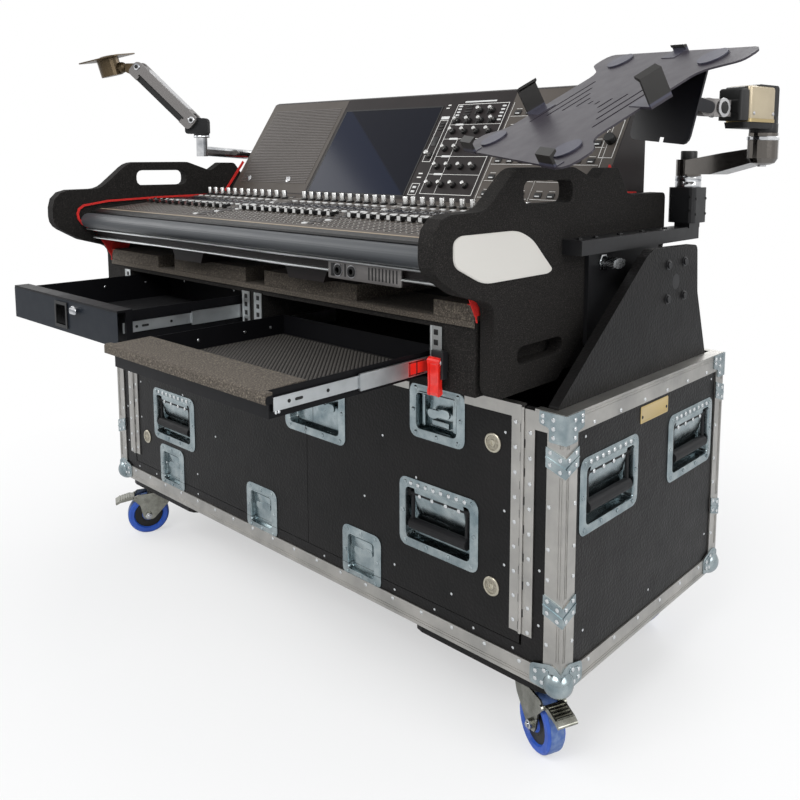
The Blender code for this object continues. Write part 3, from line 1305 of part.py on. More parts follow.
def make_left_arm():
    """Screen arm: tube link, elbow, sprung upper arm and a tilting screen plate."""
    base = arm_base(-1)
    run = LEFT_LINK
    end = run.length
    socket = 0.0145
    link = rod((0, 0, 0), (0, 0, LINK_HEIGHT + 0.010), COLLAR_RADIUS, 20)
    tube_end = Vector((end, 0, SOCKET_TOP - 0.034))
    fuse(link, rod((0, 0, 0.030), tube_end, 0.013, 16))
    fuse(link, rod((end, 0, tube_end.z - socket), (end, 0, SOCKET_TOP), socket, 16))
    fuse(link, rod((0, 0, LINK_HEIGHT), (0, 0, LINK_HEIGHT + 0.024), 0.015, 16))
    finish(link, "left_arm_link", "chrome", pivot=base, turn=facing(run), built_at_pivot=True)

    block_at = base + run + Vector((0, 0, SOCKET_TOP + GAP))
    lift = LEFT_REACH
    turn = facing(lift)
    lug = BAR_FORK - 0.0007
    tilt = math.atan2(LEFT_RISE, lift.length - LIFT_PIVOT.x)
    lower_pivot = LIFT_PIVOT + Vector((math.sin(tilt), 0, -math.cos(tilt))) * BAR_DROP
    block = rod((0, 0, 0), (0, 0, 0.012), 0.0195, 20)
    body = [(-0.0205, 0.010, 0.004), (0.018, 0.010, 0.0), (lower_pivot.x + 0.008, 0.010, 0.008),
            (lower_pivot.x + 0.008, lower_pivot.z + 0.008, 0.008),
            (LIFT_PIVOT.x + 0.009, LIFT_PIVOT.z, 0.009), (LIFT_PIVOT.x, LIFT_PIVOT.z + 0.010, 0.009),
            (0.002, 0.051, 0.004), (-0.0205, 0.051, 0.010)]
    fuse(block, prism(rounded(body, 3), "Y", -lug, lug))
    finish(block, "left_arm_elbow", "rubber", pivot=block_at, turn=turn, built_at_pivot=True)

    hinge = block_at + turn @ LIFT_PIVOT
    length = math.hypot(LEFT_RISE, lift.length - LIFT_PIVOT.x)
    arm_turn = turn @ Matrix.Rotation(-tilt, 4, "Y").to_quaternion()
    profile = [(-0.011, -BAR_DROP - 0.006, 0.010), (length + 0.011, -BAR_DROP - 0.006, 0.010),
               (length + 0.011, 0.014, 0.012), (-0.011, 0.014, 0.012)]
    arm = prism(rounded(profile, 3), "Y", -BAR_HALF, BAR_HALF)
    cut(arm, box(0.018, length - 0.018, -0.03, 0.03, -BAR_DROP + 0.006, -BAR_DROP + 0.011))
    for x0, x1, z1 in ((-0.05, 0.011, 0.05), (0.010, 0.046, 0.0105),
                       (length - 0.036, length - 0.010, 0.0105), (length - 0.011, length + 0.05, 0.05)):
        cut(arm, box(x0, x1, -BAR_FORK, BAR_FORK, -0.06, z1))
    for way in (-1, 1):
        cut(arm, box(0.022, length - 0.022, 0.0115 * way, 0.03 * way, -0.06, -BAR_DROP + 0.008))
    finish(arm, "left_arm_upper", "grey_paint", pivot=hinge, turn=arm_turn, built_at_pivot=True)

    tip = hinge + lift.normalized() * (lift.length - LIFT_PIVOT.x) + Vector((0, 0, LEFT_RISE))
    lower = Vector((math.sin(tilt), 0, -math.cos(tilt))) * BAR_DROP
    knuckle = [(-0.009, -0.004, 0.008), (lower.x - 0.008, lower.z - 0.003, 0.008),
               (lower.x + 0.006, lower.z - 0.004, 0.006), (0.037, -0.012, 0.006),
               (0.037, 0.010, 0.004), (-0.004, 0.010, 0.008)]
    head = prism(rounded(knuckle, 3), "Y", -lug, lug)
    fuse(head, ball((0.050, 0, 0), 0.0145, 16, 10))
    mounting = rod((0, 0, -0.022), (0, 0, 0.0235), 0.028, 20)
    plate = rounded_rect(-PLATE_HALF, PLATE_HALF, -PLATE_HALF, PLATE_HALF, 0.010)
    fuse(mounting, prism(plate, "Z", 0.0225, 0.0255))
    fuse(mounting, rod((0, 0, 0.0250), (0, 0, 0.0305), 0.030, 20, 0.016))
    fuse(head, shape(mounting, plate_lean()))
    finish(head, "screen_plate_head", "gold_plate", pivot=tip, turn=turn, built_at_pivot=True)


def main():
    for old in list(bpy.data.objects):
        bpy.data.objects.remove(old)
    make_tub()
    make_edge_frame()
    for name, side in (("right", 1), ("left", -1)):
        make_door(name, side)
        make_door_trim(name, side)
        make_upright(name, side)
        make_cheek(name, side)
        make_side_bracket(name, side)
        make_flip_lock(name, side)
        make_bail("door_handle_" + name, door_handle_pin(name), (0, -1, 0), (1, 0, 0))
        for place, end in (("front", -1), ("rear", 1)):
            make_bail("end_handle_%s_%s" % (name, place), end_handle_pin(side, end),
                      (side, 0, 0), (0, 1, 0))
        top_z = RIM - EDGE_THICK - GAP - DOOR_RAIL - TOP_LATCH_DISH[1] / 2 + 0.018
        make_wing("top_latch_" + name, TOP_LATCH_X * side, top_z)
    for place, x in BOTTOM_LATCHES.items():
        make_wing("bottom_latch_" + place, x, BOTTOM_LATCH_Z + 0.006)
    make_wing("middle_latch", MIDDLE_LATCH_X + 0.030, MIDDLE_LATCH_Z)
    headings = {"front_right": (1, -1, -24.0), "front_left": (-1, -1, 244.3),
                "rear_right": (1, 1, 180.0), "rear_left": (-1, 1, 160.0)}
    for name, (side, end, heading) in headings.items():
        make_caster(name, side, end, heading)
    make_cabinet()
    for name, side in (("left", -1), ("right", 1)):
        make_pad("foam_pad_" + name, PAD_SPAN[0] * side, PAD_SPAN[1] * side)
    make_console()
    make_screen()
    make_armrest()
    make_left_drawer()
    make_drawer_latch()
    make_right_drawer()
    for drawer, side, out in (("left", -1, LEFT_DRAWER_OUT), ("right", 1, RIGHT_DRAWER_OUT)):
        for wall, wall_side in (("inner", -side), ("outer", side)):
            make_slide_member("slide_%s_%s" % (drawer, wall), side, out, wall_side)
    make_red_lever()
    make_right_arm()
    make_left_arm()


main()
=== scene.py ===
import math

import bmesh
import bpy
from mathutils import Matrix, Vector


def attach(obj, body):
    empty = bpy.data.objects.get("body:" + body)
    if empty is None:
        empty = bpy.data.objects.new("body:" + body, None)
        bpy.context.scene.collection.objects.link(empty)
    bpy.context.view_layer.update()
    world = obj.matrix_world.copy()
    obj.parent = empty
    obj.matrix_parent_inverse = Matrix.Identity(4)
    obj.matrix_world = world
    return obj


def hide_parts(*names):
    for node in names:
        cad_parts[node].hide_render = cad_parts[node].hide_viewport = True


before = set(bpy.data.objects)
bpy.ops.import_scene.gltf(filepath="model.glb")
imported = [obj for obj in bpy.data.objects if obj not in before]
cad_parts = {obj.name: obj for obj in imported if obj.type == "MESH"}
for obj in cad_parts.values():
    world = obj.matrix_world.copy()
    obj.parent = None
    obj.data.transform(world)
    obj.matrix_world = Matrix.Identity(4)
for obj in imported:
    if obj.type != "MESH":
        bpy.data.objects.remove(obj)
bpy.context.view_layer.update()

# Places repeated from the part's source, in metres
FRONT = -0.285
HALF_W = 0.700
RIM = 0.4522
EDGE_DROP = 0.0028
FACE = FRONT + EDGE_DROP
END_FACE = HALF_W - EDGE_DROP
HINGE_X = 0.6195
SPLIT = 0.0798
SILL = 0.051
FLOOR_Z = -0.1461
CABINET_FRONT = -0.3498
HALF_CONSOLE = 0.5725
ARM_X = 0.630
ARM_BASE_Z = 0.8040
LIFT = 0.0004            # how far a thin piece stands off the solid behind it
SHEET_LIFT = 0.0019      # thickness of the corner plates and braces
SIDES = ((-1, "left"), (1, "right"))
FORWARD = (0, -1, 0)


# Camera and stage

def make_camera():
    """Camera at the photograph's own place and angle."""
    cam_data = bpy.data.cameras.new("camera")
    cam = bpy.data.objects.new("camera", cam_data)
    bpy.context.scene.collection.objects.link(cam)
    right = Vector((0.751130, 0.660133, 0.005314))
    down = Vector((0.082303, -0.085654, -0.992920))
    forward = Vector((-0.655004, 0.746249, -0.118668))
    turn = Matrix((right, -down, -forward)).transposed().to_4x4()
    turn.translation = Vector((1.36854, -1.02633 + FRONT, 0.83645))
    cam.matrix_world = turn
    cam_data.sensor_width = 36.0
    cam_data.lens = 37.41
    cam_data.shift_x = -0.0641
    cam_data.shift_y = -0.1782
    cam_data.clip_start = 0.05
    bpy.context.scene.camera = cam


def area_light(name, place, aim, size, power):
    data = bpy.data.lights.new(name, "AREA")
    data.shape = "RECTANGLE"
    data.size, data.size_y = size
    data.energy = power
    lamp = bpy.data.objects.new(name, data)
    lamp.location = place
    lamp.rotation_mode = "QUATERNION"
    lamp.rotation_quaternion = (Vector(aim) - Vector(place)).to_track_quat("-Z", "Y")
    bpy.context.scene.collection.objects.link(lamp)


def add_node(tree, kind, operation=None, **inputs):
    """Shader node with some of its inputs set."""
    made = tree.nodes.new("ShaderNode" + kind)
    if operation:
        made.operation = operation
    for key, value in inputs.items():
        made.inputs[key.replace("_", " ")].default_value = value
    return made


def light_surround():
    """Soft light from all round, seen and mirrored as plain white."""
    world = bpy.data.worlds.new("surround")
    bpy.context.scene.world = world
    world.use_nodes = True
    tree = world.node_tree
    tree.nodes.clear()
    join = tree.links.new
    mix = add_node(tree, "MixShader")
    lit = add_node(tree, "Background", Color=(0.93, 0.96, 1.0, 1), Strength=0.50)
    seen = add_node(tree, "Background", Color=(1, 1, 1, 1))
    path = add_node(tree, "LightPath")
    through = add_node(tree, "Math", "MAXIMUM")
    join(path.outputs["Is Camera Ray"], through.inputs[0])
    join(path.outputs["Is Transmission Ray"], through.inputs[1])
    white = add_node(tree, "Math", "MAXIMUM")
    join(through.outputs[0], white.inputs[0])
    join(path.outputs["Is Glossy Ray"], white.inputs[1])
    join(white.outputs[0], mix.inputs[0])
    join(lit.outputs[0], mix.inputs[1])
    join(seen.outputs[0], mix.inputs[2])
    join(mix.outputs[0], add_node(tree, "OutputWorld").inputs["Surface"])


def floor_paint():
    """Pale floor that keeps the shadow and fades into the white round it."""
    paint = bpy.data.materials.new("pale_floor")
    paint.use_nodes = True
    tree = paint.node_tree
    tree.nodes.clear()
    join = tree.links.new
    mix = add_node(tree, "MixShader")
    base = add_node(tree, "BsdfDiffuse", Color=(0.86, 0.86, 0.86, 1))
    glow = add_node(tree, "Emission", Color=(1, 1, 1, 1))
    far = add_node(tree, "VectorMath", "LENGTH")
    join(add_node(tree, "TexCoord").outputs["Object"], far.inputs[0])
    spread = add_node(tree, "MapRange", From_Min=0.7, From_Max=1.7, To_Min=0.55, To_Max=1.0)
    join(far.outputs["Value"], spread.inputs["Value"])
    amount = add_node(tree, "Math", "MULTIPLY")
    join(add_node(tree, "LightPath").outputs["Is Camera Ray"], amount.inputs[0])
    join(spread.outputs["Result"], amount.inputs[1])
    join(amount.outputs[0], mix.inputs[0])
    join(base.outputs[0], mix.inputs[1])
    join(glow.outputs[0], mix.inputs[2])
    join(mix.outputs[0], add_node(tree, "OutputMaterial").inputs["Surface"])
    return paint


def make_stage():
    """Pale floor under the wheels, a white surround and soft studio light."""
    light_surround()
    bm = bmesh.new()
    corners = [(-9, -9), (9, -9), (9, 9), (-9, 9)]
    bm.faces.new([bm.verts.new((x, y, FLOOR_Z)) for x, y in corners])
    floor = link(bm, "floor", smooth=False)
    floor.data.materials.append(floor_paint())
    area_light("key", (0.6, -2.6, 3.0), (0.0, -0.1, 0.5), (2.4, 1.6), 74)
    area_light("side", (3.2, -0.4, 2.0), (0.2, 0.0, 0.5), (2.0, 2.0), 44)
    area_light("left", (-3.0, -1.6, 2.2), (-0.2, 0.0, 0.6), (1.8, 1.8), 36)
    area_light("back", (0.3, 2.8, 2.4), (0.0, 0.0, 0.5), (2.4, 1.4), 38)


# Mesh helpers

def link(bm, name, smooth=True):
    """Turn a bmesh into a scene object."""
    bmesh.ops.recalc_face_normals(bm, faces=bm.faces)
    mesh = bpy.data.meshes.new(name)
    bm.to_mesh(mesh)
    bm.free()
    if smooth:
        mesh.shade_smooth()
    made = bpy.data.objects.new(name, mesh)
    bpy.context.scene.collection.objects.link(made)
    return made


def piece(bm, name, body, paint, angle=35):
    """A finished detail: built, painted and riding on its body."""
    made = link(bm, name)
    made.data.set_sharp_from_angle(angle=math.radians(angle))
    made.data.materials.append(paints[paint])
    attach(made, body)
    return made


def shift(x, y, z):
    return Matrix.Translation((x, y, z))


def turned(degrees, axis):
    return Matrix.Rotation(math.radians(degrees), 4, axis)


def looking(origin, across, up=(0, 0, 1)):
    """Matrix at a place with X across, Y up and Z out of the surface."""
    across, up = Vector(across).normalized(), Vector(up).normalized()
    made = Matrix((across, up, across.cross(up))).transposed().to_4x4()
    made.translation = Vector(origin)
    return made


def on_front(x, y, z):
    """Matrix on a surface that faces forward."""
    return looking((x, y, z), (1, 0, 0))


def on_side(side, x, y, z):
    """Matrix on a surface that faces left or right."""
    return looking((x, y, z), (0, side, 0))


def front_frame(x, z):
    return on_front(x, FACE, z)


def end_frame(side, y, z):
    return on_side(side, END_FACE * side, y, z)


def add_box(bm, x0, x1, y0, y1, z0, z1, frame_at=None):
    """Block between two corners, placed by a matrix if one is given."""
    grown = bmesh.ops.create_cube(bm, size=1.0)
    size = Matrix.Diagonal((abs(x1 - x0), abs(y1 - y0), abs(z1 - z0), 1))
    place = shift((x0 + x1) / 2, (y0 + y1) / 2, (z0 + z1) / 2) @ size
    if frame_at is not None:
        place = frame_at @ place
    bmesh.ops.transform(bm, matrix=place, verts=grown["verts"])


def add_rod(bm, start, end, radius, sides):
    """Round bar between two points."""
    start, end = Vector(start), Vector(end)
    run = end - start
    grown = bmesh.ops.create_cone(bm, cap_ends=True, segments=sides, radius1=radius,
                                  radius2=radius, depth=run.length)
    turn = run.to_track_quat("Z", "Y").to_matrix().to_4x4()
    bmesh.ops.transform(bm, matrix=Matrix.Translation((start + end) / 2) @ turn,
                        verts=grown["verts"])


def add_rings(bm, rings, close):
    """Skin over rings of points, capped or closed on itself."""
    rings = [[bm.verts.new(point) for point in ring] for ring in rings]
    pairs = list(zip(rings, rings[1:]))
    if close == "round":
        pairs.append((rings[-1], rings[0]))
    count = len(rings[0])
    for lower, upper in pairs:
        for step in range(count):
            nxt = (step + 1) % count
            bm.faces.new((lower[step], lower[nxt], upper[nxt], upper[step]))
    if close in ("both", "first"):
        bm.faces.new(list(reversed(rings[0])))
    if close in ("both", "last"):
        bm.faces.new(rings[-1])


def add_turned(bm, profile, frame_at, sides=20, closed=False):
    """Surface of revolution about the matrix's Z from (radius, height) points."""
    angles = [2 * math.pi * step / sides for step in range(sides)]
    rings = [[frame_at @ Vector((radius * math.cos(angle), radius * math.sin(angle), height))
              for angle in angles] for radius, height in profile]
    add_rings(bm, rings, "round" if closed else "both")


def rect_loop(half_w, half_h, radius, steps=4):
    """Rounded rectangle as a list of points round the middle."""
    points = []
    for index in range(4):
        sx = (1, -1, -1, 1)[index]
        sy = (1, 1, -1, -1)[index]
        for step in range(steps + 1):
            angle = math.radians(90 * index + 90 * step / steps)
            points.append((sx * (half_w - radius) + radius * math.cos(angle),
                           sy * (half_h - radius) + radius * math.sin(angle)))
    return points


def add_loft(bm, loops, frame_at, cap_first=False):
    """Skin over rounded rectangles (half width, half height, radius, height)."""
    rings = [[frame_at @ Vector((a, b, height)) for a, b in rect_loop(half_w, half_h, radius)]
             for half_w, half_h, radius, height in loops]
    add_rings(bm, rings, "both" if cap_first else "last")


def add_prism(bm, outline, frame_at, low, high):
    """Outline in the matrix's XY plane, extruded between two heights."""
    add_rings(bm, [[frame_at @ Vector((a, b, level)) for a, b in outline] for level in (low, high)],
              "both")


def add_rivets(bm, places, out, radius=0.0026, height=0.0010, sides=10):
    """Low domed rivet heads at a list of places."""
    turn = Vector(out).to_track_quat("Z", "Y").to_matrix().to_4x4()
    profile = [(radius, -0.0003), (radius * 0.94, height * 0.45), (radius * 0.62, height * 0.88),
               (radius * 0.25, height)]
    for place in places:
        add_turned(bm, profile, Matrix.Translation(Vector(place)) @ turn, sides)


def rounded(corners, steps=3):
    """Outline with its corners (a, b, radius) rounded off."""
    made = []
    count = len(corners)
    for index, (a, b, radius) in enumerate(corners):
        here = Vector((a, b))
        if radius == 0:
            made.append(tuple(here))
            continue
        before = Vector(corners[index - 1][:2]) - here
        after = Vector(corners[(index + 1) % count][:2]) - here
        reach = min(radius, 0.48 * before.length, 0.48 * after.length)
        start = here + before.normalized() * reach
        end = here + after.normalized() * reach
        for step in range(steps + 1):
            t = step / steps
            made.append(tuple(start * (1 - t) ** 2 + here * 2 * t * (1 - t) + end * t ** 2))
    return made


AXES = {"X": Matrix(((0, 0, 1, 0), (1, 0, 0, 0), (0, 1, 0, 0), (0, 0, 0, 1))),
        "Y": Matrix(((1, 0, 0, 0), (0, 0, 1, 0), (0, 1, 0, 0), (0, 0, 0, 1)))}


def add_plate(bm, corners, axis, low, high, steps=3):
    """Flat plate with rounded corners, square to one axis."""
    add_prism(bm, rounded(corners, steps), AXES[axis], low, high)


def round_box(bm, x0, x1, y0, y1, z0, z1, radius, frame_at):
    """Block whose four upright edges and top edges are softened."""
    w, h = abs(x1 - x0) / 2, abs(y1 - y0) / 2
    soft = min(radius, 0.45 * abs(z1 - z0))
    loops = [(w, h, radius, z0), (w, h, radius, z1 - soft),
             (w - soft * 0.3, h - soft * 0.3, radius, z1 - soft * 0.3),
             (w - soft, h - soft, radius, z1)]
    add_loft(bm, loops, frame_at @ shift((x0 + x1) / 2, (y0 + y1) / 2, 0), cap_first=True)


# Materials

class Paint:
    """Small builder for a node material."""

    def __init__(self, name, colour, roughness, metallic, specular):
        self.material = bpy.data.materials.new(name)
        self.material.use_nodes = True
        self.tree = self.material.node_tree
        self.join = self.tree.links.new
        self.shader = self.tree.nodes["Principled BSDF"]
        self.shader.inputs["Base Color"].default_value = (*colour, 1)
        self.shader.inputs["Roughness"].default_value = roughness
        self.shader.inputs["Metallic"].default_value = metallic
        if specular is not None:
            self.shader.inputs["Specular IOR Level"].default_value = specular
        self.coords = add_node(self.tree, "TexCoord")
        self.height = None
        self.material.diffuse_color = (*colour, 1)

    def grain(self, scale, detail):
        """Noise, or cells where the detail is 0."""
        if detail:
            node = add_node(self.tree, "TexNoise", Scale=1.0, Detail=detail, Roughness=0.55)
        else:
            node = add_node(self.tree, "TexVoronoi", Scale=1.0)
        size = scale if isinstance(scale, tuple) else (scale,) * 3
        mapped = add_node(self.tree, "Mapping", Scale=size)
        self.join(self.coords.outputs["Object"], mapped.inputs["Vector"])
        self.join(mapped.outputs["Vector"], node.inputs["Vector"])
        return node.outputs["Fac" if detail else "Distance"]

    def colour(self, value, stops):
        node = add_node(self.tree, "ValToRGB")
        while len(node.color_ramp.elements) < len(stops):
            node.color_ramp.elements.new(0.5)
        for element, (place, colour) in zip(node.color_ramp.elements, stops):
            element.position = place
            element.color = (*colour, 1)
        self.join(value, node.inputs["Fac"])
        self.join(node.outputs["Color"], self.shader.inputs["Base Color"])

    def wedge(self, way, name, place, stops):
        """Colours by distance from a plane through a place on a solid, 0.5 on the plane."""
        level = Vector(way).dot(Vector(place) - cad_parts[name].matrix_world.translation)
        node = add_node(self.tree, "VectorMath", "DOT_PRODUCT")
        node.inputs[1].default_value = way
        self.join(self.coords.outputs["Object"], node.inputs[0])
        spread = add_node(self.tree, "MapRange", From_Min=level - 0.1, From_Max=level + 0.1)
        self.join(node.outputs["Value"], spread.inputs["Value"])
        self.colour(spread.outputs["Result"], stops)

    def rough(self, value, low, high):
        node = add_node(self.tree, "MapRange", To_Min=low, To_Max=high)
        self.join(value, node.inputs["Value"])
        self.join(node.outputs["Result"], self.shader.inputs["Roughness"])

    def bump(self, value, strength, distance):
        node = add_node(self.tree, "Bump", Strength=strength, Distance=distance)
        self.join(value, node.inputs["Height"])
        if self.height is not None:
            self.join(self.height, node.inputs["Normal"])
        self.height = node.outputs["Normal"]
        self.join(self.height, self.shader.inputs["Normal"])


# Finish: colour, roughness, metallic, specular, then the colour's grain (scale, detail, and colours
# with their places), the gloss's grain (scale, detail, low, high) and bumps (scale, detail,
# strength, distance)
FINISHES = {
    "laminate": ((0.007, 0.007, 0.007), 0.46, 0, 0.17,
                 (9, 5, 0.3, (0.004, 0.004, 0.004), 0.75, (0.009, 0.008, 0.008)),
                 (26, 3, 0.34, 0.52), (190, 0, 0.55, 0.0009)),
    "aluminium": ((0.38, 0.37, 0.35), 0.40, 1, None,
                  (14, 5, 0.3, (0.31, 0.305, 0.29), 0.7, (0.45, 0.435, 0.41)),
                  ((120, 120, 8), 4, 0.28, 0.50), ((500, 500, 30), 2, 0.05, 0.0004)),
    "zinc": ((0.29, 0.34, 0.36), 0.26, 1, None,
             (30, 4, 0.3, (0.17, 0.22, 0.24), 0.7, (0.38, 0.43, 0.44)),
             (70, 4, 0.14, 0.34), (240, 2, 0.04, 0.0004)),
    "caster_zinc": ((0.27, 0.27, 0.24), 0.26, 1, None,
                    (40, 4, 0.3, (0.17, 0.17, 0.145), 0.7, (0.36, 0.36, 0.32)), (70, 4, 0.16, 0.34)),
    "rubber": ((0.010, 0.010, 0.011), 0.62, 0, 0.25, None, (60, 3, 0.5, 0.72), (900, 2, 0.15, 0.0003)),
    "blue_tyre": ((0.020, 0.085, 0.46), 0.42, 0, None,
                  (40, 4, 0.3, (0.016, 0.070, 0.39), 0.7, (0.025, 0.105, 0.52)), (90, 3, 0.32, 0.55)),
    "tread": ((0.08, 0.15, 0.36), 0.6, 0, None,
              (120, 5, 0.35, (0.05, 0.11, 0.33), 0.65, (0.13, 0.20, 0.38)), None),
    "black_steel": ((0.011, 0.011, 0.012), 0.42, 0, 0.3, None, (50, 4, 0.28, 0.48),
                    (700, 2, 0.12, 0.0003)),
    "black_foam": ((0.016, 0.015, 0.014), 0.85, 0, 0.15,
                   (560, 3, 0.38, (0.007, 0.0065, 0.006), 0.60, (0.017, 0.0155, 0.0145),
                    0.74, (0.060, 0.053, 0.047)), None, (560, 3, 0.8, 0.0014), (150, 2, 0.3, 0.0016)),
    "pad_foam": ((0.095, 0.080, 0.064), 0.95, 0, None,
                 (420, 3, 0.35, (0.036, 0.029, 0.023), 0.55, (0.088, 0.073, 0.057),
                  0.72, (0.20, 0.170, 0.130)), None, (520, 3, 0.6, 0.0012)),
    "console": ((0.012, 0.009, 0.009), 0.44, 0, 0.2,
                (18, 3, 0.3, (0.010, 0.0075, 0.0075), 0.7, (0.015, 0.011, 0.011)), None,
                (1400, 1, 0.08, 0.0002)),
    "ribbed": ((0.095, 0.084, 0.078), 0.50, 0, None,
               (300, 2, 0.3, (0.080, 0.070, 0.065), 0.7, (0.112, 0.100, 0.093)), None,
               (1200, 1, 0.15, 0.0003)),
    "armrest": ((0.052, 0.056, 0.061), 0.44, 0, 0.4, None, ((12, 220, 220), 3, 0.36, 0.56),
                (1100, 2, 0.10, 0.0002)),
    "screen": ((0.008, 0.011, 0.024), 0.14, 0, 0.10, None, None),
    "small_display": ((0.006, 0.008, 0.014), 0.2, 0, 0.3, None, (60, 2, 0.14, 0.28)),
    "navy_front": ((0.005, 0.008, 0.013), 0.44, 0, 0.15, None, (40, 3, 0.36, 0.52),
                   (1500, 1, 0.08, 0.0002)),
    "drawer_paint": ((0.005, 0.005, 0.006), 0.46, 0, 0.12, None, (40, 3, 0.32, 0.5),
                     (1500, 1, 0.08, 0.0002)),
    "red_plastic": ((0.72, 0.015, 0.008), 0.32, 0, None,
                    (60, 3, 0.3, (0.60, 0.010, 0.006), 0.7, (0.80, 0.022, 0.012)), None),
    "red_liner": ((0.62, 0.012, 0.008), 0.75, 0, None,
                  (200, 3, 0.3, (0.46, 0.008, 0.006), 0.7, (0.70, 0.016, 0.010)), None,
                  (700, 2, 0.25, 0.0005)),
    "chrome": ((0.50, 0.51, 0.53), 0.10, 1, None,
               (26, 3, 0.35, (0.30, 0.31, 0.33), 0.65, (0.66, 0.67, 0.68)), (50, 3, 0.06, 0.16)),
    "gunmetal": ((0.13, 0.12, 0.11), 0.16, 1, None, None, ((40, 40, 200), 3, 0.10, 0.24)),
    "satin_steel": ((0.52, 0.52, 0.53), 0.28, 1, None, None, ((30, 30, 200), 3, 0.2, 0.4)),
    "grey_paint": ((0.17, 0.16, 0.155), 0.42, 0.4, None, None, (60, 3, 0.32, 0.5)),
    "cream_cover": ((0.42, 0.35, 0.24), 0.36, 0.35, None,
                    (12, 3, 0.3, (0.36, 0.30, 0.20), 0.7, (0.48, 0.41, 0.29)), (60, 3, 0.28, 0.44)),
    "bronze": ((0.085, 0.060, 0.030), 0.34, 0.6, None, None, (80, 3, 0.26, 0.44)),
    "slide_zinc": ((0.50, 0.52, 0.53), 0.36, 1, None,
                   (24, 3, 0.3, (0.42, 0.44, 0.45), 0.7, (0.56, 0.58, 0.59)),
                   ((300, 20, 300), 3, 0.30, 0.46)),
    "bright_rail": ((0.70, 0.72, 0.72), 0.34, 1, None, None, ((12, 300, 300), 3, 0.28, 0.42)),
    "gold_plate": ((0.42, 0.33, 0.17), 0.36, 0.8, None, None, ((20, 300, 300), 3, 0.26, 0.46)),
    "tray_paint": ((0.027, 0.023, 0.031), 0.36, 0, 0.35, None, (40, 3, 0.28, 0.44),
                   (1500, 1, 0.10, 0.0002)),
    "white_plate": ((0.62, 0.60, 0.56), 0.40, 0, 0.3, None, (40, 2, 0.26, 0.38)),
    "dull_ring": ((0.46, 0.43, 0.35), 0.36, 1, None, None, (200, 2, 0.28, 0.44)),
    "brass_plate": ((0.55, 0.42, 0.20), 0.34, 0.9, None, None, ((20, 400, 400), 3, 0.24, 0.44)),
    "marking": ((0.74, 0.73, 0.70), 0.5, 0, None, None, (60, 2, 0.4, 0.6)),
    "key_grey": ((0.060, 0.056, 0.055), 0.5, 0, None, None, (90, 2, 0.42, 0.58)),
    "cap_silver": ((0.62, 0.62, 0.61), 0.24, 1, None, None, (200, 2, 0.16, 0.32)),
    "cap_white": ((0.62, 0.62, 0.61), 0.4, 0, None, None, (90, 2, 0.32, 0.48)),
    "cap_black": ((0.010, 0.010, 0.010), 0.4, 0, 0.3, None, (90, 2, 0.32, 0.5)),
    "tan_line": ((0.30, 0.24, 0.17), 0.5, 0, None, None, (90, 2, 0.42, 0.58)),
    "rivet": ((0.60, 0.62, 0.63), 0.26, 1, None, None, (200, 2, 0.18, 0.36)),
    "magnet": ((0.30, 0.27, 0.21), 0.5, 0.3, None,
               (300, 3, 0.35, (0.20, 0.18, 0.14), 0.65, (0.36, 0.33, 0.26)), None),
    "taupe": ((0.066, 0.055, 0.047), 0.50, 0, 0.3,
              (14, 3, 0.3, (0.058, 0.048, 0.040), 0.7, (0.074, 0.063, 0.054)), None,
              (1400, 1, 0.10, 0.0002)),
    "mat_base": ((0.007, 0.0065, 0.006), 0.7, 0, 0.2, None, None, (800, 2, 0.2, 0.0004)),
    "mat_weave": ((0.045, 0.041, 0.036), 0.6, 0, None,
                  (400, 2, 0.3, (0.033, 0.030, 0.027), 0.7, (0.060, 0.054, 0.048)), None),
}


def make_paint(key, colour, roughness, metallic, specular, tint, gloss, *bumps):
    paint = Paint(key + "_finish", colour, roughness, metallic, specular)
    if tint:
        paint.colour(paint.grain(*tint[:2]), list(zip(tint[2::2], tint[3::2])))
    for scale, detail, strength, distance in bumps:
        paint.bump(paint.grain(scale, detail), strength, distance)
    if gloss:
        paint.rough(paint.grain(*gloss[:2]), *gloss[2:])
    return paint


def make_paints():
    """Every finish of the object."""
    made = {key: make_paint(key, *row) for key, row in FINISHES.items()}
    made["red_plastic"].shader.inputs["Coat Weight"].default_value = 0.3
    made["screen"].wedge((0.543, 0.0, 0.840), "screen", (-0.1655, 0.0, 0.9095),
                         [(0.490, (0.008, 0.0115, 0.026)), (0.512, (0.0045, 0.0055, 0.011))])
    plate, pads = (0.027, 0.023, 0.031), (0.045, 0.045, 0.066)
    tray_normal = Vector((-0.173, -0.478, 0.861)).normalized()
    made["tray_paint"].wedge(tray_normal, "laptop_tray", (0.6645, -0.173, 0.9238),
                             [(0.474, (0.006, 0.006, 0.009)), (0.478, plate), (0.503, plate),
                              (0.505, pads), (0.522, pads), (0.527, (0.011, 0.010, 0.009))])
    return {key: value.material for key, value in made.items()}


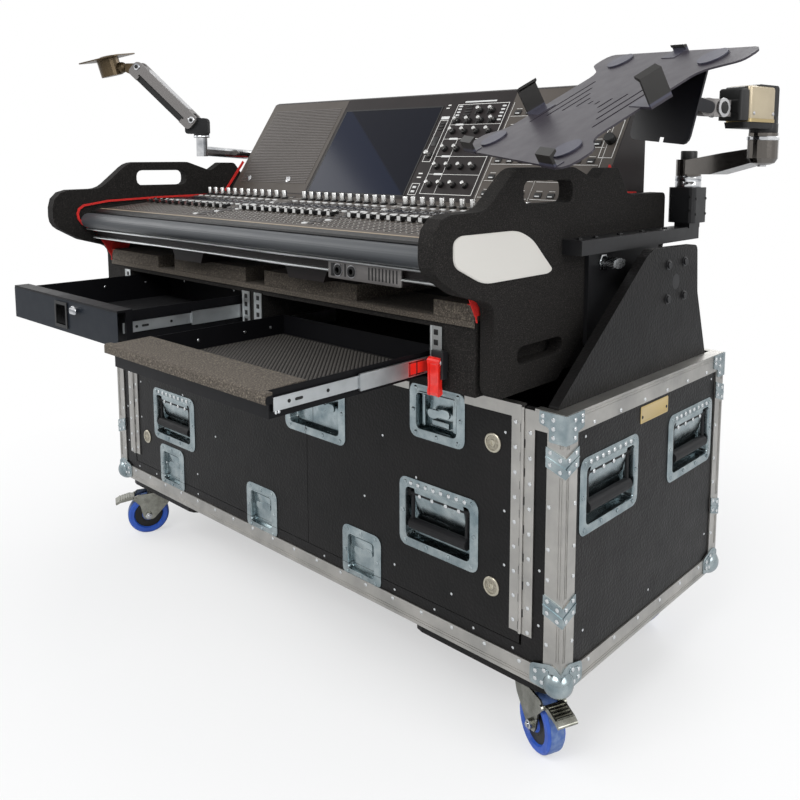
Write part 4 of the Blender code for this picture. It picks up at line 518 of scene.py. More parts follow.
paints = make_paints()
SLOT_PAINTS = {
    "tub": "laminate", "edge_frame": "aluminium", "upright": "laminate", "door_trim": "aluminium",
    "door_handle": "rubber", "end_handle": "rubber", "door": "laminate", "latch_paddle": "rubber",
    "bottom_latch": "zinc", "middle_latch": "zinc", "top_latch": "zinc", "caster_fork": "caster_zinc",
    "caster_wheel": "blue_tyre", "brake_pedal": "caster_zinc", "cheek": "black_foam",
    "side_bracket": "black_steel", "flip_lock": "rivet", "drawer_cabinet": "black_foam",
    "foam_pad": "pad_foam", "console_body": "console", "screen_plate": "bronze",
    "screen": "screen", "armrest": "armrest", "drawer_latch_paddle": "rubber",
    "drawer_lock": "red_plastic", "drawer_l": "drawer_paint", "drawer_r": "drawer_paint",
    "slide": "slide_zinc", "right_arm_link": "gunmetal", "right_arm_upper": "cap_black",
    "right_arm_head": "grey_paint", "laptop_tray": "tray_paint", "left_arm_link": "chrome",
    "left_arm_elbow": "rubber", "left_arm_upper": "grey_paint",
}


def paint_nodes():
    """Give each solid of the frame its full finish."""
    for name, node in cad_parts.items():
        keys = [key for key in SLOT_PAINTS if name.startswith(key)]
        chosen = paints[SLOT_PAINTS[max(keys, key=len)]]
        if not node.material_slots:
            node.data.materials.append(chosen)
        for slot in node.material_slots:
            slot.material = chosen
        node.data.shade_smooth()
        node.data.set_sharp_from_angle(angle=math.radians(32))


def build(name, body, paint, *shapes):
    """A detail from rows of a shape's function and what it takes."""
    bm = bmesh.new()
    for add, *rest in shapes:
        add(bm, *rest)
    return piece(bm, name, body, paint)


def fresh(count):
    return [bmesh.new() for _ in range(count)]


def finish(body, *rows):
    """Details on one body, from rows of mesh, name and paint."""
    for bm, name, paint in rows:
        piece(bm, name, body, paint)


# Case hardware

HANDLE_DISH = (0.184, 0.128)
LATCH_DISH = (0.107, 0.104)
TOP_LATCH_DISH = (0.127, 0.098)
FLANGE = 0.017
DOOR_HANDLES = {"right": 0.437, "left": -0.428}
HANDLE_Z = 0.204
END_HANDLE_Z = 0.306
END_HANDLE_Y = 0.148
BOTTOM_LATCHES = {"left": -0.442, "middle": -0.077, "right": 0.241}
BOTTOM_LATCH_Z = 0.0775
MIDDLE_LATCH = (0.105, 0.347)
TOP_LATCH_X = 0.4345
TOP_LATCH_Z = RIM - EDGE_DROP - 0.021 - TOP_LATCH_DISH[1] / 2 + 0.018
RIDGES = (0.0062, 0.0105)        # how far the ridges of an angle lie from its edge
SCREW = (0.0026, 0.0010, 8)      # radius, height and sides of the panels' screws


def door_at(x):
    return "door_right" if x > SPLIT else "door_left"


def dish_rivets(size, count):
    """Rivet places on the flange of a dish: rows above and below, one at each side."""
    w, h = size[0] / 2 - 0.0085, size[1] / 2 - 0.0085
    places = []
    for step in range(count):
        a = -w + 0.006 + 2 * (w - 0.006) * step / (count - 1)
        places += [(a, h), (a, -h)]
    return places + [(w, 0.0), (-w, 0.0)]


def add_dish(bm, place, size):
    """Pressed zinc dish with its rivets: raised rim, rounded fall and flat bottom."""
    w, h = size[0] / 2, size[1] / 2
    rim = 0.0015 + LIFT
    rows = [(0, 0.0004, 0.016, 0.0), (0, 0.0004, 0.016, rim - 0.0003), (0, -0.0006, 0.0155, rim + 0.0003),
            (0, -0.002, 0.015, rim + 0.0004), (FLANGE, 0.0040, 0.0115, rim + 0.0006),
            (FLANGE, 0.0022, 0.0100, rim + 0.0016), (FLANGE, 0.0006, 0.0088, rim + 0.0014)]
    if size is LATCH_DISH:
        rows += [(FLANGE, -0.0008, 0.008, 0.0), (FLANGE, -0.0008, 0.008, -0.0060),
                 (FLANGE, -0.0012, 0.008, -0.0066)]
    else:
        rows += [(FLANGE, -0.0008, 0.0075, -0.0005), (FLANGE, -0.0009, 0.0075, -0.0120),
                 (FLANGE, -0.0030, 0.0070, -0.0158), (FLANGE, -0.0070, 0.0060, -0.0165)]
    add_loft(bm, [(w - off + grow, h - off + grow, radius, level) for off, grow, radius, level in rows],
             place)
    count, radius = (4, 0.0042) if size is HANDLE_DISH else (3, 0.0040)
    add_rivets(bm, [place @ Vector((a, b, 0.0018)) for a, b in dish_rivets(size, count)],
               place.col[2].xyz, radius, 0.0024)


def dish_piece(name, body, places, size, cut=None):
    """Riveted dishes, or the part of them that a cut's normal points to."""
    bm = bmesh.new()
    for place in places:
        add_dish(bm, place, size)
    if cut:
        bmesh.ops.bisect_plane(bm, geom=bm.verts[:] + bm.edges[:] + bm.faces[:], plane_co=cut[0],
                               plane_no=cut[1], clear_inner=True)
    piece(bm, name, body, "zinc")


def make_dishes():
    """Zinc dishes of all handles and latches."""
    for name, x in DOOR_HANDLES.items():
        dish_piece("handle_dish_" + name, "door_" + name, [front_frame(x, HANDLE_Z)], HANDLE_DISH)
    for side, label in SIDES:
        ends = [end_frame(side, END_HANDLE_Y * end, END_HANDLE_Z) for end in (-1, 1)]
        dish_piece("end_dishes_" + label, "case", ends, HANDLE_DISH)
        dish_piece("top_latch_dish_" + label, "door_" + label,
                   [front_frame(TOP_LATCH_X * side, TOP_LATCH_Z)], TOP_LATCH_DISH)
        dish_piece("middle_dish_" + label, "door_" + label, [front_frame(*MIDDLE_LATCH)], HANDLE_DISH,
                   ((SPLIT + 0.0006 * side, 0, 0), (side, 0, 0)))
    for label, x in BOTTOM_LATCHES.items():
        for half, body, way in (("upper", door_at(x), 1), ("lower", "case", -1)):
            dish_piece("bottom_dish_%s_%s" % (label, half), body, [front_frame(x, BOTTOM_LATCH_Z)],
                       LATCH_DISH, ((0, 0, SILL + 0.0008 + 0.0004 * way), (0, 0, way)))


def corner_faces(side, end):
    """Both faces at an upright corner: axis, edge, way to it, level, way out, turn of a sheet."""
    x, y = HALF_W * side, -FRONT * end
    return ("Y", x, side, y, end, -SHEET_LIFT), ("X", y, end, x, side, 0.0)


def from_edge(edge, way, points):
    """Points from (distance in from an edge, height), with a radius kept if there is one."""
    return [(edge - reach * way, *rest) for reach, *rest in points]


def dress_rivets(bm, places, axis, level, way):
    """Rivet heads on a face square to X or Y, lower on the front, where the doors fold back."""
    out = Vector((0, way, 0)) if axis == "Y" else Vector((way, 0, 0))
    spots = [AXES[axis] @ Vector((a, b, level)) for a, b in places]
    add_rivets(bm, spots, out, 0.0038, 0.0016 if out.y < 0 else 0.0022)


def add_ridge(bm, axis, level, way, a0, a1, b0, b1):
    add_box(bm, a0, a1, b0, b1, level, level + 0.0007 * way, AXES[axis])


def add_post(zinc, ridges, rivets, face):
    """Slanting braces, ridges and rivets on one face of an upright angle."""
    axis, edge, way, base, out_way, wrap = face
    level = base + SHEET_LIFT * out_way
    for z in (0.112, 0.353):
        band = [(wrap, z - 0.0003), (0.0354, z + 0.0117), (0.0354, z + 0.0443), (wrap, z + 0.0323)]
        add_prism(zinc, from_edge(edge, way, band), AXES[axis], base, level)
        rib = [(wrap, z + 0.0145), (0.0354, z + 0.0265), (0.0354, z + 0.0290), (wrap, z + 0.0170)]
        add_prism(zinc, from_edge(edge, way, rib), AXES[axis], level, level + 0.0011 * out_way)
        heads = [(0.008, z + 0.009), (0.027, z + 0.0165), (0.008, z + 0.028), (0.027, z + 0.036)]
        dress_rivets(rivets, from_edge(edge, way, heads), axis, level, out_way)
    for reach in RIDGES:
        for low, high in ((0.051, 0.111), (0.157, 0.352), (0.398, 0.404)):
            add_ridge(ridges, axis, base, out_way, edge - (reach - 0.0009) * way,
                      edge - (reach + 0.0009) * way, low, high)
    raised = 0.006 if axis == "X" else 0.0
    heads = [(0.0285, z + raised) for z in (0.074, 0.182, 0.232, 0.301)]
    dress_rivets(rivets, from_edge(edge, way, heads), axis, base, out_way)


def add_ball_leaf(bm, rivets, face):
    """Leaf of a round pressed corner, with its raised middle."""
    axis, edge, way, base, out_way, _ = face
    z0 = -EDGE_DROP
    leaf = [(-0.0015, z0, 0), (0.0585, z0 + 0.0035, 0.006), (0.0585, z0 + 0.0365, 0.008),
            (0.014, z0 + 0.0485, 0.010), (-0.0015, z0 + 0.0365, 0)]
    level = base + SHEET_LIFT * out_way
    add_plate(bm, from_edge(edge, way, leaf), axis, base, level, 4)
    inner = [(0.020, z0 + 0.010, 0.004), (0.052, z0 + 0.009, 0.006), (0.052, z0 + 0.031, 0.006),
             (0.022, z0 + 0.038, 0.006)]
    add_plate(bm, from_edge(edge, way, inner), axis, level, level + 0.0008 * out_way, 4)
    heads = [(0.047, z0 + 0.014), (0.047, z0 + 0.027), (0.030, z0 + 0.034), (0.034, z0 + 0.012)]
    dress_rivets(rivets, from_edge(edge, way, heads), axis, level + 0.0008 * out_way, out_way)


def add_top_leaf(bm, rivets, face):
    """Leaf of a flat corner plate at the rim."""
    axis, edge, way, base, out_way, wrap = face
    top = RIM - 0.0008
    fall = 0.006 if axis == "X" else 0.0
    leaf = [(wrap, top, 0), (0.0483, top, 0), (0.0483, top - 0.0203 - fall, 0.004),
            (0.0303, top - 0.0243 - fall, 0.003), (0.0303, top - 0.0463, 0.004), (wrap, top - 0.0463, 0)]
    level = base + SHEET_LIFT * out_way
    add_plate(bm, from_edge(edge, way, leaf), axis, base, level)
    heads = [(0.042, top - 0.007), (0.042, top - 0.016), (0.022, top - 0.010), (0.022, top - 0.024),
             (0.022, top - 0.038)]
    dress_rivets(rivets, from_edge(edge, way, heads), axis, level, out_way)


def make_edge_dressing():
    """Zinc braces, corner plates and ball corners, ridges and rivets of the edge angles."""
    zinc, ridges, rivets = fresh(3)
    for side in (-1, 1):
        for end in (-1, 1):
            faces = corner_faces(side, end)
            ball = shift((HALF_W - 0.013) * side, (-FRONT - 0.013) * end, 0.013 - EDGE_DROP)
            bmesh.ops.create_uvsphere(zinc, u_segments=28, v_segments=18, radius=0.0249, matrix=ball)
            for face in faces:
                add_post(zinc, ridges, rivets, face)
                add_ball_leaf(zinc, rivets, face)
                add_top_leaf(zinc, rivets, face)
    along, across = (-0.62, 0.0729, 18), (-0.205, 0.082, 6)
    runs = [("Y", -FRONT * end, end, HALF_W - 0.045, -EDGE_DROP, 1, along) for end in (-1, 1)]
    runs.append(("Y", -FRONT, 1, HALF_W - 0.049, RIM, -1, along))
    for side in (-1, 1):
        runs += [("X", HALF_W * side, side, -FRONT - 0.045, -EDGE_DROP, 1, across),
                 ("X", HALF_W * side, side, -FRONT - 0.050, RIM, -1, across)]
    for axis, base, out_way, half, level, way, (start, pitch, count) in runs:
        for reach in RIDGES:
            z = level + reach * way
            add_ridge(ridges, axis, base, out_way, -half, half, z - 0.0009, z + 0.0009)
        heads = [(start + pitch * step, level + 0.0275 * way) for step in range(count)]
        dress_rivets(rivets, heads, axis, base, out_way)
    finish("case", (zinc, "corner_plates", "zinc"), (ridges, "angle_ridges", "aluminium"),
           (rivets, "case_rivets", "rivet"))


def make_hinges():
    """Second leaf, knuckles, painted shade in the gaps beside the knuckles and rivets of both piano hinges.
    """
    low, high = SILL + 0.022, RIM - 0.0024
    pitch = 0.0236
    for side, label in SIDES:
        door = "door_" + label
        x = HINGE_X * side
        build("hinge_leaf_" + label, "case", "aluminium",
              (add_box, (HINGE_X + 0.0036) * side, (HINGE_X + 0.0228) * side, FACE - 0.0025,
               FACE - 0.0002, low - 0.0003, high - 0.0016))
        knuckles, slots = fresh(2)
        for step in range(int((high - low) / pitch)):
            z = low + 0.001 + step * pitch
            add_rod(knuckles, (x, FACE - 0.003, z), (x, FACE - 0.003, z + pitch - 0.0012), 0.0034, 12)
            # painted shade: a thin black strip beside every knuckle, on alternating sides, stands for the
            # shaded gap between knuckle and leaf
            off = x + 0.0043 * (1 if step % 2 else -1)
            add_box(slots, off - 0.0006, off + 0.0006, FACE - 0.0032, FACE - 0.0026, z + 0.004,
                    z + pitch - 0.006)
        piece(knuckles, "hinge_knuckles_" + label, door, "aluminium")
        piece(slots, "hinge_gap_shade_" + label, "case", "cap_black")
        for body, offset, start, level in ((door, -0.0145, 0.018, 0.0023), ("case", 0.0145, 0.006, 0.0025)):
            heads = [((HINGE_X + offset) * side, low + start + 0.0415 * step) for step in range(9)]
            build("hinge_rivets_%s_%s" % (label, body), body, "rivet",
                  (dress_rivets, heads, "Y", FACE - level, -1))


def make_door_details():
    """Bumpers, small screws and the bare label plate."""
    ring = [(0.0165, -0.001), (0.0165, 0.0016), (0.0155, 0.0024), (0.0128, 0.0024), (0.0124, 0.0012),
            (0.0056, 0.0012), (0.0052, 0.0022), (0.0034, 0.0026), (0.0030, 0.0014)]
    inside = [(0.0122, 0.0010), (0.0122, 0.0016), (0.0058, 0.0016), (0.0058, 0.0010)]
    screws = [(0.583, 0.400), (0.583, 0.268), (0.584, 0.176), (0.330, 0.090), (0.385, 0.272),
              (0.470, 0.084), (0.300, 0.330), (0.250, 0.200)]
    for side, label in SIDES:
        door = "door_" + label
        spots = [front_frame(0.558 * side, z) for z in (0.130, 0.377)]
        build("bumper_rings_" + label, door, "dull_ring", *[(add_turned, ring, at, 28) for at in spots])
        build("bumper_faces_" + label, door, "magnet",
              *[(add_turned, inside, at, 28, True) for at in spots])
        build("door_screws_" + label, door, "rivet",
              (add_rivets, [(x * side, FACE, z) for x, z in screws], FORWARD, *SCREW))
    front = [(0.654, 0.190), (0.654, 0.098), (0.604, 0.040), (0.520, 0.041), (0.430, 0.040),
             (0.330, 0.041), (0.130, 0.040)]
    ends = [(-0.225, 0.405), (-0.220, 0.080), (0.235, 0.405), (0.232, 0.085), (0.0, 0.060)]
    bm = bmesh.new()
    for side in (-1, 1):
        add_rivets(bm, [(x * side, FACE, z) for x, z in front], FORWARD, *SCREW)
        add_rivets(bm, [(END_FACE * side, y, z) for y, z in ends], (side, 0, 0), *SCREW)
    piece(bm, "panel_screws", "case", "rivet")
    place = end_frame(1, 0.0, 0.397)
    build("bare_label_plate", "case", "brass_plate",
          (add_loft, [(0.050, 0.015, 0.002, -0.0002), (0.050, 0.015, 0.002, 0.0010),
                      (0.0492, 0.0142, 0.002, 0.0016), (0.0472, 0.0122, 0.002, 0.0016),
                      (0.0464, 0.0114, 0.002, 0.0012)], place))
    pins = [place @ Vector((0.044 * way, -0.004, 0.0012)) for way in (-1, 1)]
    build("label_plate_pins", "case", "cap_black", (add_rivets, pins, (1, 0, 0), 0.0030))


def make_dish_inner():
    """Sprung leaves and rivets in the handle dishes, works and seats in the latch dishes."""
    jobs = [("door_" + name, front_frame(x, HANDLE_Z), "door_inner_" + name)
            for name, x in DOOR_HANDLES.items()]
    for side, label in SIDES:
        for end, tag in ((-1, "front"), (1, "rear")):
            jobs.append(("case", end_frame(side, END_HANDLE_Y * end, END_HANDLE_Z),
                         "end_inner_%s_%s" % (label, tag)))
    leaf = [(0.0462, -0.0006), (0.0462, -0.0024), (0.0060, -0.0100), (-0.0040, -0.0150),
            (-0.0050, -0.0140), (0.0060, -0.0084), (0.0450, -0.0006)]
    spots = [(a, 0.0330, -0.0028) for a in (-0.046, -0.016, 0.016, 0.046)]
    spots += [(-0.063 + 0.018 * step, HANDLE_DISH[1] / 2 - 0.0085, 0.0022) for step in range(8)]
    for body, place, name in jobs:
        build(name, body, "zinc", (add_prism, leaf, place @ AXES["X"], -0.0575, 0.0575))
        build(name + "_rivets", body, "rivet",
              (add_rivets, [place @ Vector(spot) for spot in spots], place.col[2].xyz, 0.0042, 0.0026))
    for side, label in SIDES:
        place = front_frame(TOP_LATCH_X * side, TOP_LATCH_Z)
        build("top_latch_works_" + label, "door_" + label, "zinc",
              *[(round_box, a - 0.004, a + 0.004, -0.028, 0.030, -0.0160, -0.0040, 0.002, place)
                for a in (-0.036, 0.036)],
              (round_box, -0.020, 0.020, -0.026, -0.014, -0.0162, -0.0080, 0.002, place))
    for label, x in BOTTOM_LATCHES.items():
        seat = [(0.024, 0.012, 0.004, -0.0065), (0.024, 0.012, 0.004, -0.0045),
                (0.0232, 0.0112, 0.004, -0.0040)]
        build("bottom_latch_seat_" + label, door_at(x), "zinc",
              (add_loft, seat, front_frame(x, BOTTOM_LATCH_Z) @ shift(0, 0.0165, 0)))


CASTERS = {"front_right": (1, -1, -24.0), "front_left": (-1, -1, 244.3),
           "rear_right": (1, 1, 180.0), "rear_left": (-1, 1, 160.0)}


def make_caster_details():
    """Hubs, treads and bolts of the wheels, and ridges of the brake pedals."""
    tread = [(0.0502, -0.0125), (0.0506, -0.0105), (0.0508, 0.0), (0.0506, 0.0105), (0.0502, 0.0125),
             (0.0495, 0.0)]
    hub = [(0.0345, 0.0118), (0.0345, 0.0128), (0.0325, 0.0136), (0.0240, 0.0126), (0.0200, 0.0126),
           (0.0185, 0.0140), (0.0145, 0.0140), (0.0145, 0.0118)]
    for name, (side, end, heading) in CASTERS.items():
        swivel = shift(0.600 * side, 0.223 * end, -0.0264) @ turned(heading, "Z")
        axle = swivel @ shift(0.038, 0, -0.0697)
        wheel = axle @ turned(90, "X")
        build("tread_" + name, "caster_wheel_" + name, "tread", (add_turned, tread, wheel, 48, True))
        build("hub_" + name, "caster_wheel_" + name, "cap_black",
              *[(add_turned, [(radius, level * way) for radius, level in hub], wheel, 36, True)
                for way in (-1, 1)])
        bm = bmesh.new()
        for way in (-1, 1):
            place = axle @ shift(0, 0.0265 * way, 0) @ turned(-90 * way, "X")
            add_turned(bm, [(0.0086, -0.0015), (0.0086, 0.0012), (0.0070, 0.0022)], place, 6)
            add_turned(bm, [(0.0040, 0.0), (0.0040, 0.0046), (0.0034, 0.0052)], place, 14)
        for step in range(10):
            angle = 2 * math.pi * step / 10
            spot = swivel @ Vector((0.0262 * math.cos(angle), 0.0262 * math.sin(angle), -0.0078))
            add_turned(bm, [(0.0018, 0.0008), (0.0018, -0.0008), (0.0010, -0.0014)], shift(*spot), 8)
        piece(bm, "axle_bolts_" + name, "caster_fork_" + name, "chrome")
        bm = bmesh.new()
        for step in range(5):
            x, z = 0.012 + 0.0062 * step, 0.0060 - 0.0010 * step
            add_box(bm, x - 0.0011, x + 0.0011, -0.0155, 0.0155, z - 0.0016, z + 0.0009,
                    swivel @ shift(0.070, 0, -0.022))
        piece(bm, "pedal_ridges_" + name, "brake_pedal_" + name, "caster_zinc")
        bolt = [(0.0062, 0.0), (0.0062, -0.0034), (0.0052, -0.0042)]
        build("plate_bolts_" + name, "case", "zinc",
              *[(add_turned, bolt, shift(0.600 * side + x, 0.223 * end + y, -0.0258), 6)
                for x in (-0.042, 0.042) for y in (-0.030, 0.030)])


# Console

DECK = shift(0, -0.377, 0.7113) @ Matrix.Rotation(math.atan2(0.0345, 0.370), 4, "X")
BRIDGE = shift(0, -0.007, 0.7458) @ Matrix.Rotation(math.atan2(0.237, 0.156), 4, "X")
BANKS = ((-0.550, -0.235), (-0.160, 0.130), (0.190, 0.480))
SKIN = 0.0001            # how far printed marks and keys stand off the console
PRINT = 0.0005           # how far up a printed mark comes


def mark(bm, place, x0, x1, s0, s1, low=SKIN, high=PRINT):
    """Printed patch on a face of the console."""
    add_box(bm, x0, x1, s0, s1, low, high, place)


def key(bm, place, x0, x1, s0, s1, high, low=SKIN, soft=0.001):
    round_box(bm, x0, x1, s0, s1, low, high, soft, place)


def outline_box(bm, place, x0, x1, s0, s1, high=PRINT):
    """Printed frame round a group of controls."""
    width = 0.0012
    mark(bm, place, x0, x1, s0, s0 + width, high=high)
    mark(bm, place, x0, x1, s1 - width, s1, high=high)
    mark(bm, place, x0, x0 + width, s0 + width, s1 - width, high=high)
    mark(bm, place, x1 - width, x1, s0 + width, s1 - width, high=high)


def make_deck():
    """Faders, encoders, keys and small displays of the channel strips."""
    slots, caps, cap_lines, skirts, knobs, keys, white_keys, displays, marks = fresh(9)
    for x in [low + (high - low) * step / 11 for low, high in BANKS for step in range(12)]:
        add_box(slots, x - 0.0062, x - 0.0044, 0.1160, 0.1380, 0.0030, 0.0090, DECK)
        add_box(slots, x + 0.0044, x + 0.0062, 0.1160, 0.1380, 0.0030, 0.0090, DECK)
        add_box(slots, x - 0.0013, x + 0.0013, 0.030, 0.148, SKIN, 0.0006, DECK)
        for step in range(9):
            s = 0.034 + 0.0135 * step
            mark(marks, DECK, x - 0.0075, x - 0.0040, s - 0.0003, s + 0.0003)
            mark(marks, DECK, x + 0.0040, x + 0.0075, s - 0.0003, s + 0.0003)
        s = 0.127
        profile = [(s - 0.0115, 0.0035), (s - 0.0105, 0.0115), (s - 0.0035, 0.0088),
                   (s + 0.0035, 0.0088), (s + 0.0105, 0.0115), (s + 0.0115, 0.0035)]
        add_prism(caps, profile, DECK @ AXES["X"], x - 0.0043, x + 0.0043)
        add_box(cap_lines, x - 0.0045, x + 0.0045, s - 0.0006, s + 0.0006, 0.0080, 0.0092, DECK)
        add_box(slots, x - 0.0009, x + 0.0009, s - 0.004, s + 0.004, 0.0002, 0.0040, DECK)
        place = DECK @ shift(x, 0.293, 0)
        add_turned(skirts, [(0.0078, 0.0), (0.0078, 0.0030), (0.0066, 0.0046)], place)
        add_turned(knobs, [(0.0060, 0.0040), (0.0058, 0.0185), (0.0052, 0.0200), (0.0030, 0.0203)], place)
        for row, s in enumerate((0.166, 0.180, 0.194, 0.250, 0.264)):
            target = white_keys if row in (1, 4) else keys
            key(target, DECK, x - 0.0060, x + 0.0060, s - 0.0036, s + 0.0036, 0.0026)
        key(displays, DECK, x - 0.0095, x + 0.0095, 0.206, 0.240, 0.0010)
        mark(marks, DECK, x - 0.0060, x + 0.0060, 0.3115, 0.3125, high=0.0006)
        key(keys, DECK, x - 0.0052, x + 0.0052, 0.3165, 0.3225, 0.0024)
    for x in (0.168, 0.505, 0.535):
        place = DECK @ shift(x, 0.293, 0)
        add_turned(skirts, [(0.0084, 0.0), (0.0084, 0.0030), (0.0070, 0.0046)], place)
        add_turned(knobs, [(0.0064, 0.0040), (0.0062, 0.0180), (0.0054, 0.0195), (0.0030, 0.0198)], place)
    for x0, x1 in ((-0.222, -0.174), (0.143, 0.178), (0.497, 0.560)):
        columns = max(2, int((x1 - x0) / 0.016))
        for column in range(columns):
            x = x0 + (x1 - x0) * (column + 0.5) / columns
            for row in range(10):
                s = 0.040 + 0.021 * row
                target = white_keys if (row * 3 + column) % 7 == 0 else keys
                key(target, DECK, x - 0.0055, x + 0.0055, s - 0.0042, s + 0.0042, 0.0026)
                mark(marks, DECK, x - 0.0050, x + 0.0050, s + 0.0068, s + 0.0076)
    outline_box(marks, DECK, 0.146, 0.186, 0.272, 0.316)
    outline_box(marks, DECK, 0.494, 0.562, 0.030, 0.262)
    for x in (-0.197, 0.1605, 0.4885):
        mark(marks, DECK, x - 0.0003, x + 0.0003, 0.264, 0.328)
    finish("cradle", (slots, "fader_slots", "cap_black"), (caps, "fader_caps", "cap_silver"),
           (cap_lines, "fader_cap_lines", "cap_black"), (skirts, "encoder_skirts", "cap_black"),
           (knobs, "encoder_caps", "cap_silver"), (keys, "deck_keys", "key_grey"),
           (white_keys, "deck_light_keys", "cap_white"), (displays, "channel_displays", "small_display"),
           (marks, "deck_marks", "marking"))


def make_bridge_panels():
    """Flat panels, ribbed panel and its two quarter-turn screws."""
    build("taupe_panels", "cradle", "taupe",
          (add_box, -0.5720, 0.5720, 0.0110, 0.3700, -0.0010, 0.0001, DECK),
          (add_box, -0.5720, -0.2630, 0.0015, 0.2820, -0.0002, 0.0004, BRIDGE),
          (add_box, 0.2775, 0.5720, 0.0015, 0.2820, -0.0002, 0.0004, BRIDGE))
    bm = bmesh.new()
    for step in range(46):
        t = 0.030 + 0.0050 * step
        profile = [(t, 0.0003), (t + 0.0006, 0.0014), (t + 0.0026, 0.0014), (t + 0.0032, 0.0003)]
        add_prism(bm, profile, BRIDGE @ AXES["X"], -0.552, -0.276)
    piece(bm, "speaker_ribs", "cradle", "ribbed")
    bm = bmesh.new()
    for x in (-0.518, -0.350):
        place = BRIDGE @ shift(x, 0.040, 0.0012)
        add_turned(bm, [(0.0085, 0.0), (0.0085, 0.0012), (0.0072, 0.0020)], place)
        add_box(bm, -0.0075, 0.0075, -0.0010, 0.0010, 0.0018, 0.0040, place @ turned(-50, "Z"))
    piece(bm, "quarter_turn_screws", "cradle", "satin_steel")


def add_knob_section(marks, skirts, knobs, white, keys):
    """Knobs, lamps and printed frame right of the screen."""
    outline_box(marks, BRIDGE, 0.122, 0.268, 0.016, 0.252)
    for t in (0.066, 0.112, 0.158, 0.196):
        mark(marks, BRIDGE, 0.123, 0.267, t, t + 0.0009)
        key(white, BRIDGE, 0.140, 0.164, t - 0.0020, t + 0.0030, 0.0012)
    mark(marks, BRIDGE, 0.164, 0.1649, 0.017, 0.158)
    key(white, BRIDGE, 0.140, 0.230, 0.2560, 0.2600, 0.0010)
    for t, count in ((0.040, 4), (0.086, 4), (0.132, 4), (0.178, 4), (0.206, 4), (0.232, 2)):
        for step in range(count):
            x = (0.140 if count == 4 else 0.195) + 0.034 * step
            place = BRIDGE @ shift(x, t, 0)
            add_turned(skirts, [(0.0076, 0.0), (0.0076, 0.0022), (0.0062, 0.0060)], place, 18)
            add_turned(knobs, [(0.0052, 0.0056), (0.0047, 0.0132), (0.0041, 0.0144), (0.0020, 0.0146)],
                       place, 18)
            if t > 0.2:
                key(keys, BRIDGE, x - 0.013, x - 0.009, t - 0.009, t + 0.009, 0.0016)
    for bm, x0, x1, start, pitch, high in ((white, 0.128, 0.138, 0.212, 0.0080, 0.0018),
                                           (keys, 0.150, 0.168, 0.214, 0.0076, 0.0016),
                                           (white, 0.252, 0.262, 0.205, 0.0090, 0.0014)):
        for step in range(5):
            t = start + pitch * step
            key(bm, BRIDGE, x0, x1, t, t + 0.0040, high)


def add_monitor_strip(bezel, marks, skirts, knobs, white, keys):
    """Narrow column of keys between the screen and the knobs."""
    outline_box(marks, BRIDGE, 0.088, 0.112, 0.098, 0.210)
    key(white, BRIDGE, 0.088, 0.112, 0.212, 0.220, 0.0012)
    for t in (0.182, 0.190, 0.198):
        key(keys, BRIDGE, 0.094, 0.106, t, t + 0.0045, 0.0018)
    key(bezel, BRIDGE, 0.093, 0.107, 0.140, 0.164, 0.0012)
    place = BRIDGE @ shift(0.100, 0.116, 0)
    add_turned(skirts, [(0.0090, 0.0), (0.0090, 0.0022), (0.0078, 0.0034)], place, 18)
    add_turned(knobs, [(0.0064, 0.0030), (0.0060, 0.0130), (0.0052, 0.0142), (0.0030, 0.0144)], place, 18)
    outline_box(marks, BRIDGE, 0.088, 0.112, 0.012, 0.042)
    for t in (0.018, 0.029):
        key(white, BRIDGE, 0.095, 0.105, t, t + 0.0055, 0.0018)
    for x, t, wide, tall in ((0.094, 0.056, 0.012, 0.0030), (0.094, 0.066, 0.012, 0.0030),
                             (0.090, 0.242, 0.009, 0.0026), (0.092, 0.250, 0.009, 0.0026)):
        mark(marks, BRIDGE, x, x + wide, t, t + tall)


def add_switch_section(marks, skirts, white, keys):
    """Two blocks of lit keys at the right of the sloped face, raised on their own panel."""
    low, high = 0.0004, 0.0008
    for a, b in ((0.288, 0.408), (0.420, 0.540)):
        for row in range(6):
            t = 0.022 + 0.040 * row
            mark(marks, BRIDGE, a - 0.002, b + 0.002, t - 0.0085, t - 0.0077, low, high)
            for step in range(4):
                x = a + 0.014 + 0.0300 * step
                key(keys, BRIDGE, x - 0.0085, x + 0.0085, t - 0.0045, t + 0.0065, 0.0026, low, 0.0012)
                mark(white, BRIDGE, x - 0.0050, x + 0.0050, t - 0.0030, t - 0.0008, 0.0024, 0.0032)
                mark(marks, BRIDGE, x - 0.0070, x + 0.0070, t + 0.0105, t + 0.0113, low, high)
        for x in (a - 0.0065, b + 0.0055):
            mark(marks, BRIDGE, x, x + 0.0008, 0.010, 0.250, low, high)
    outline_box(marks, BRIDGE, 0.536, 0.566, 0.110, 0.196, high)
    add_turned(skirts, [(0.0105, 0.0), (0.0105, 0.0120), (0.0092, 0.0136)],
               BRIDGE @ shift(0.551, 0.150, low), 24)
    key(keys, BRIDGE, 0.541, 0.561, 0.016, 0.070, 0.0020, low)


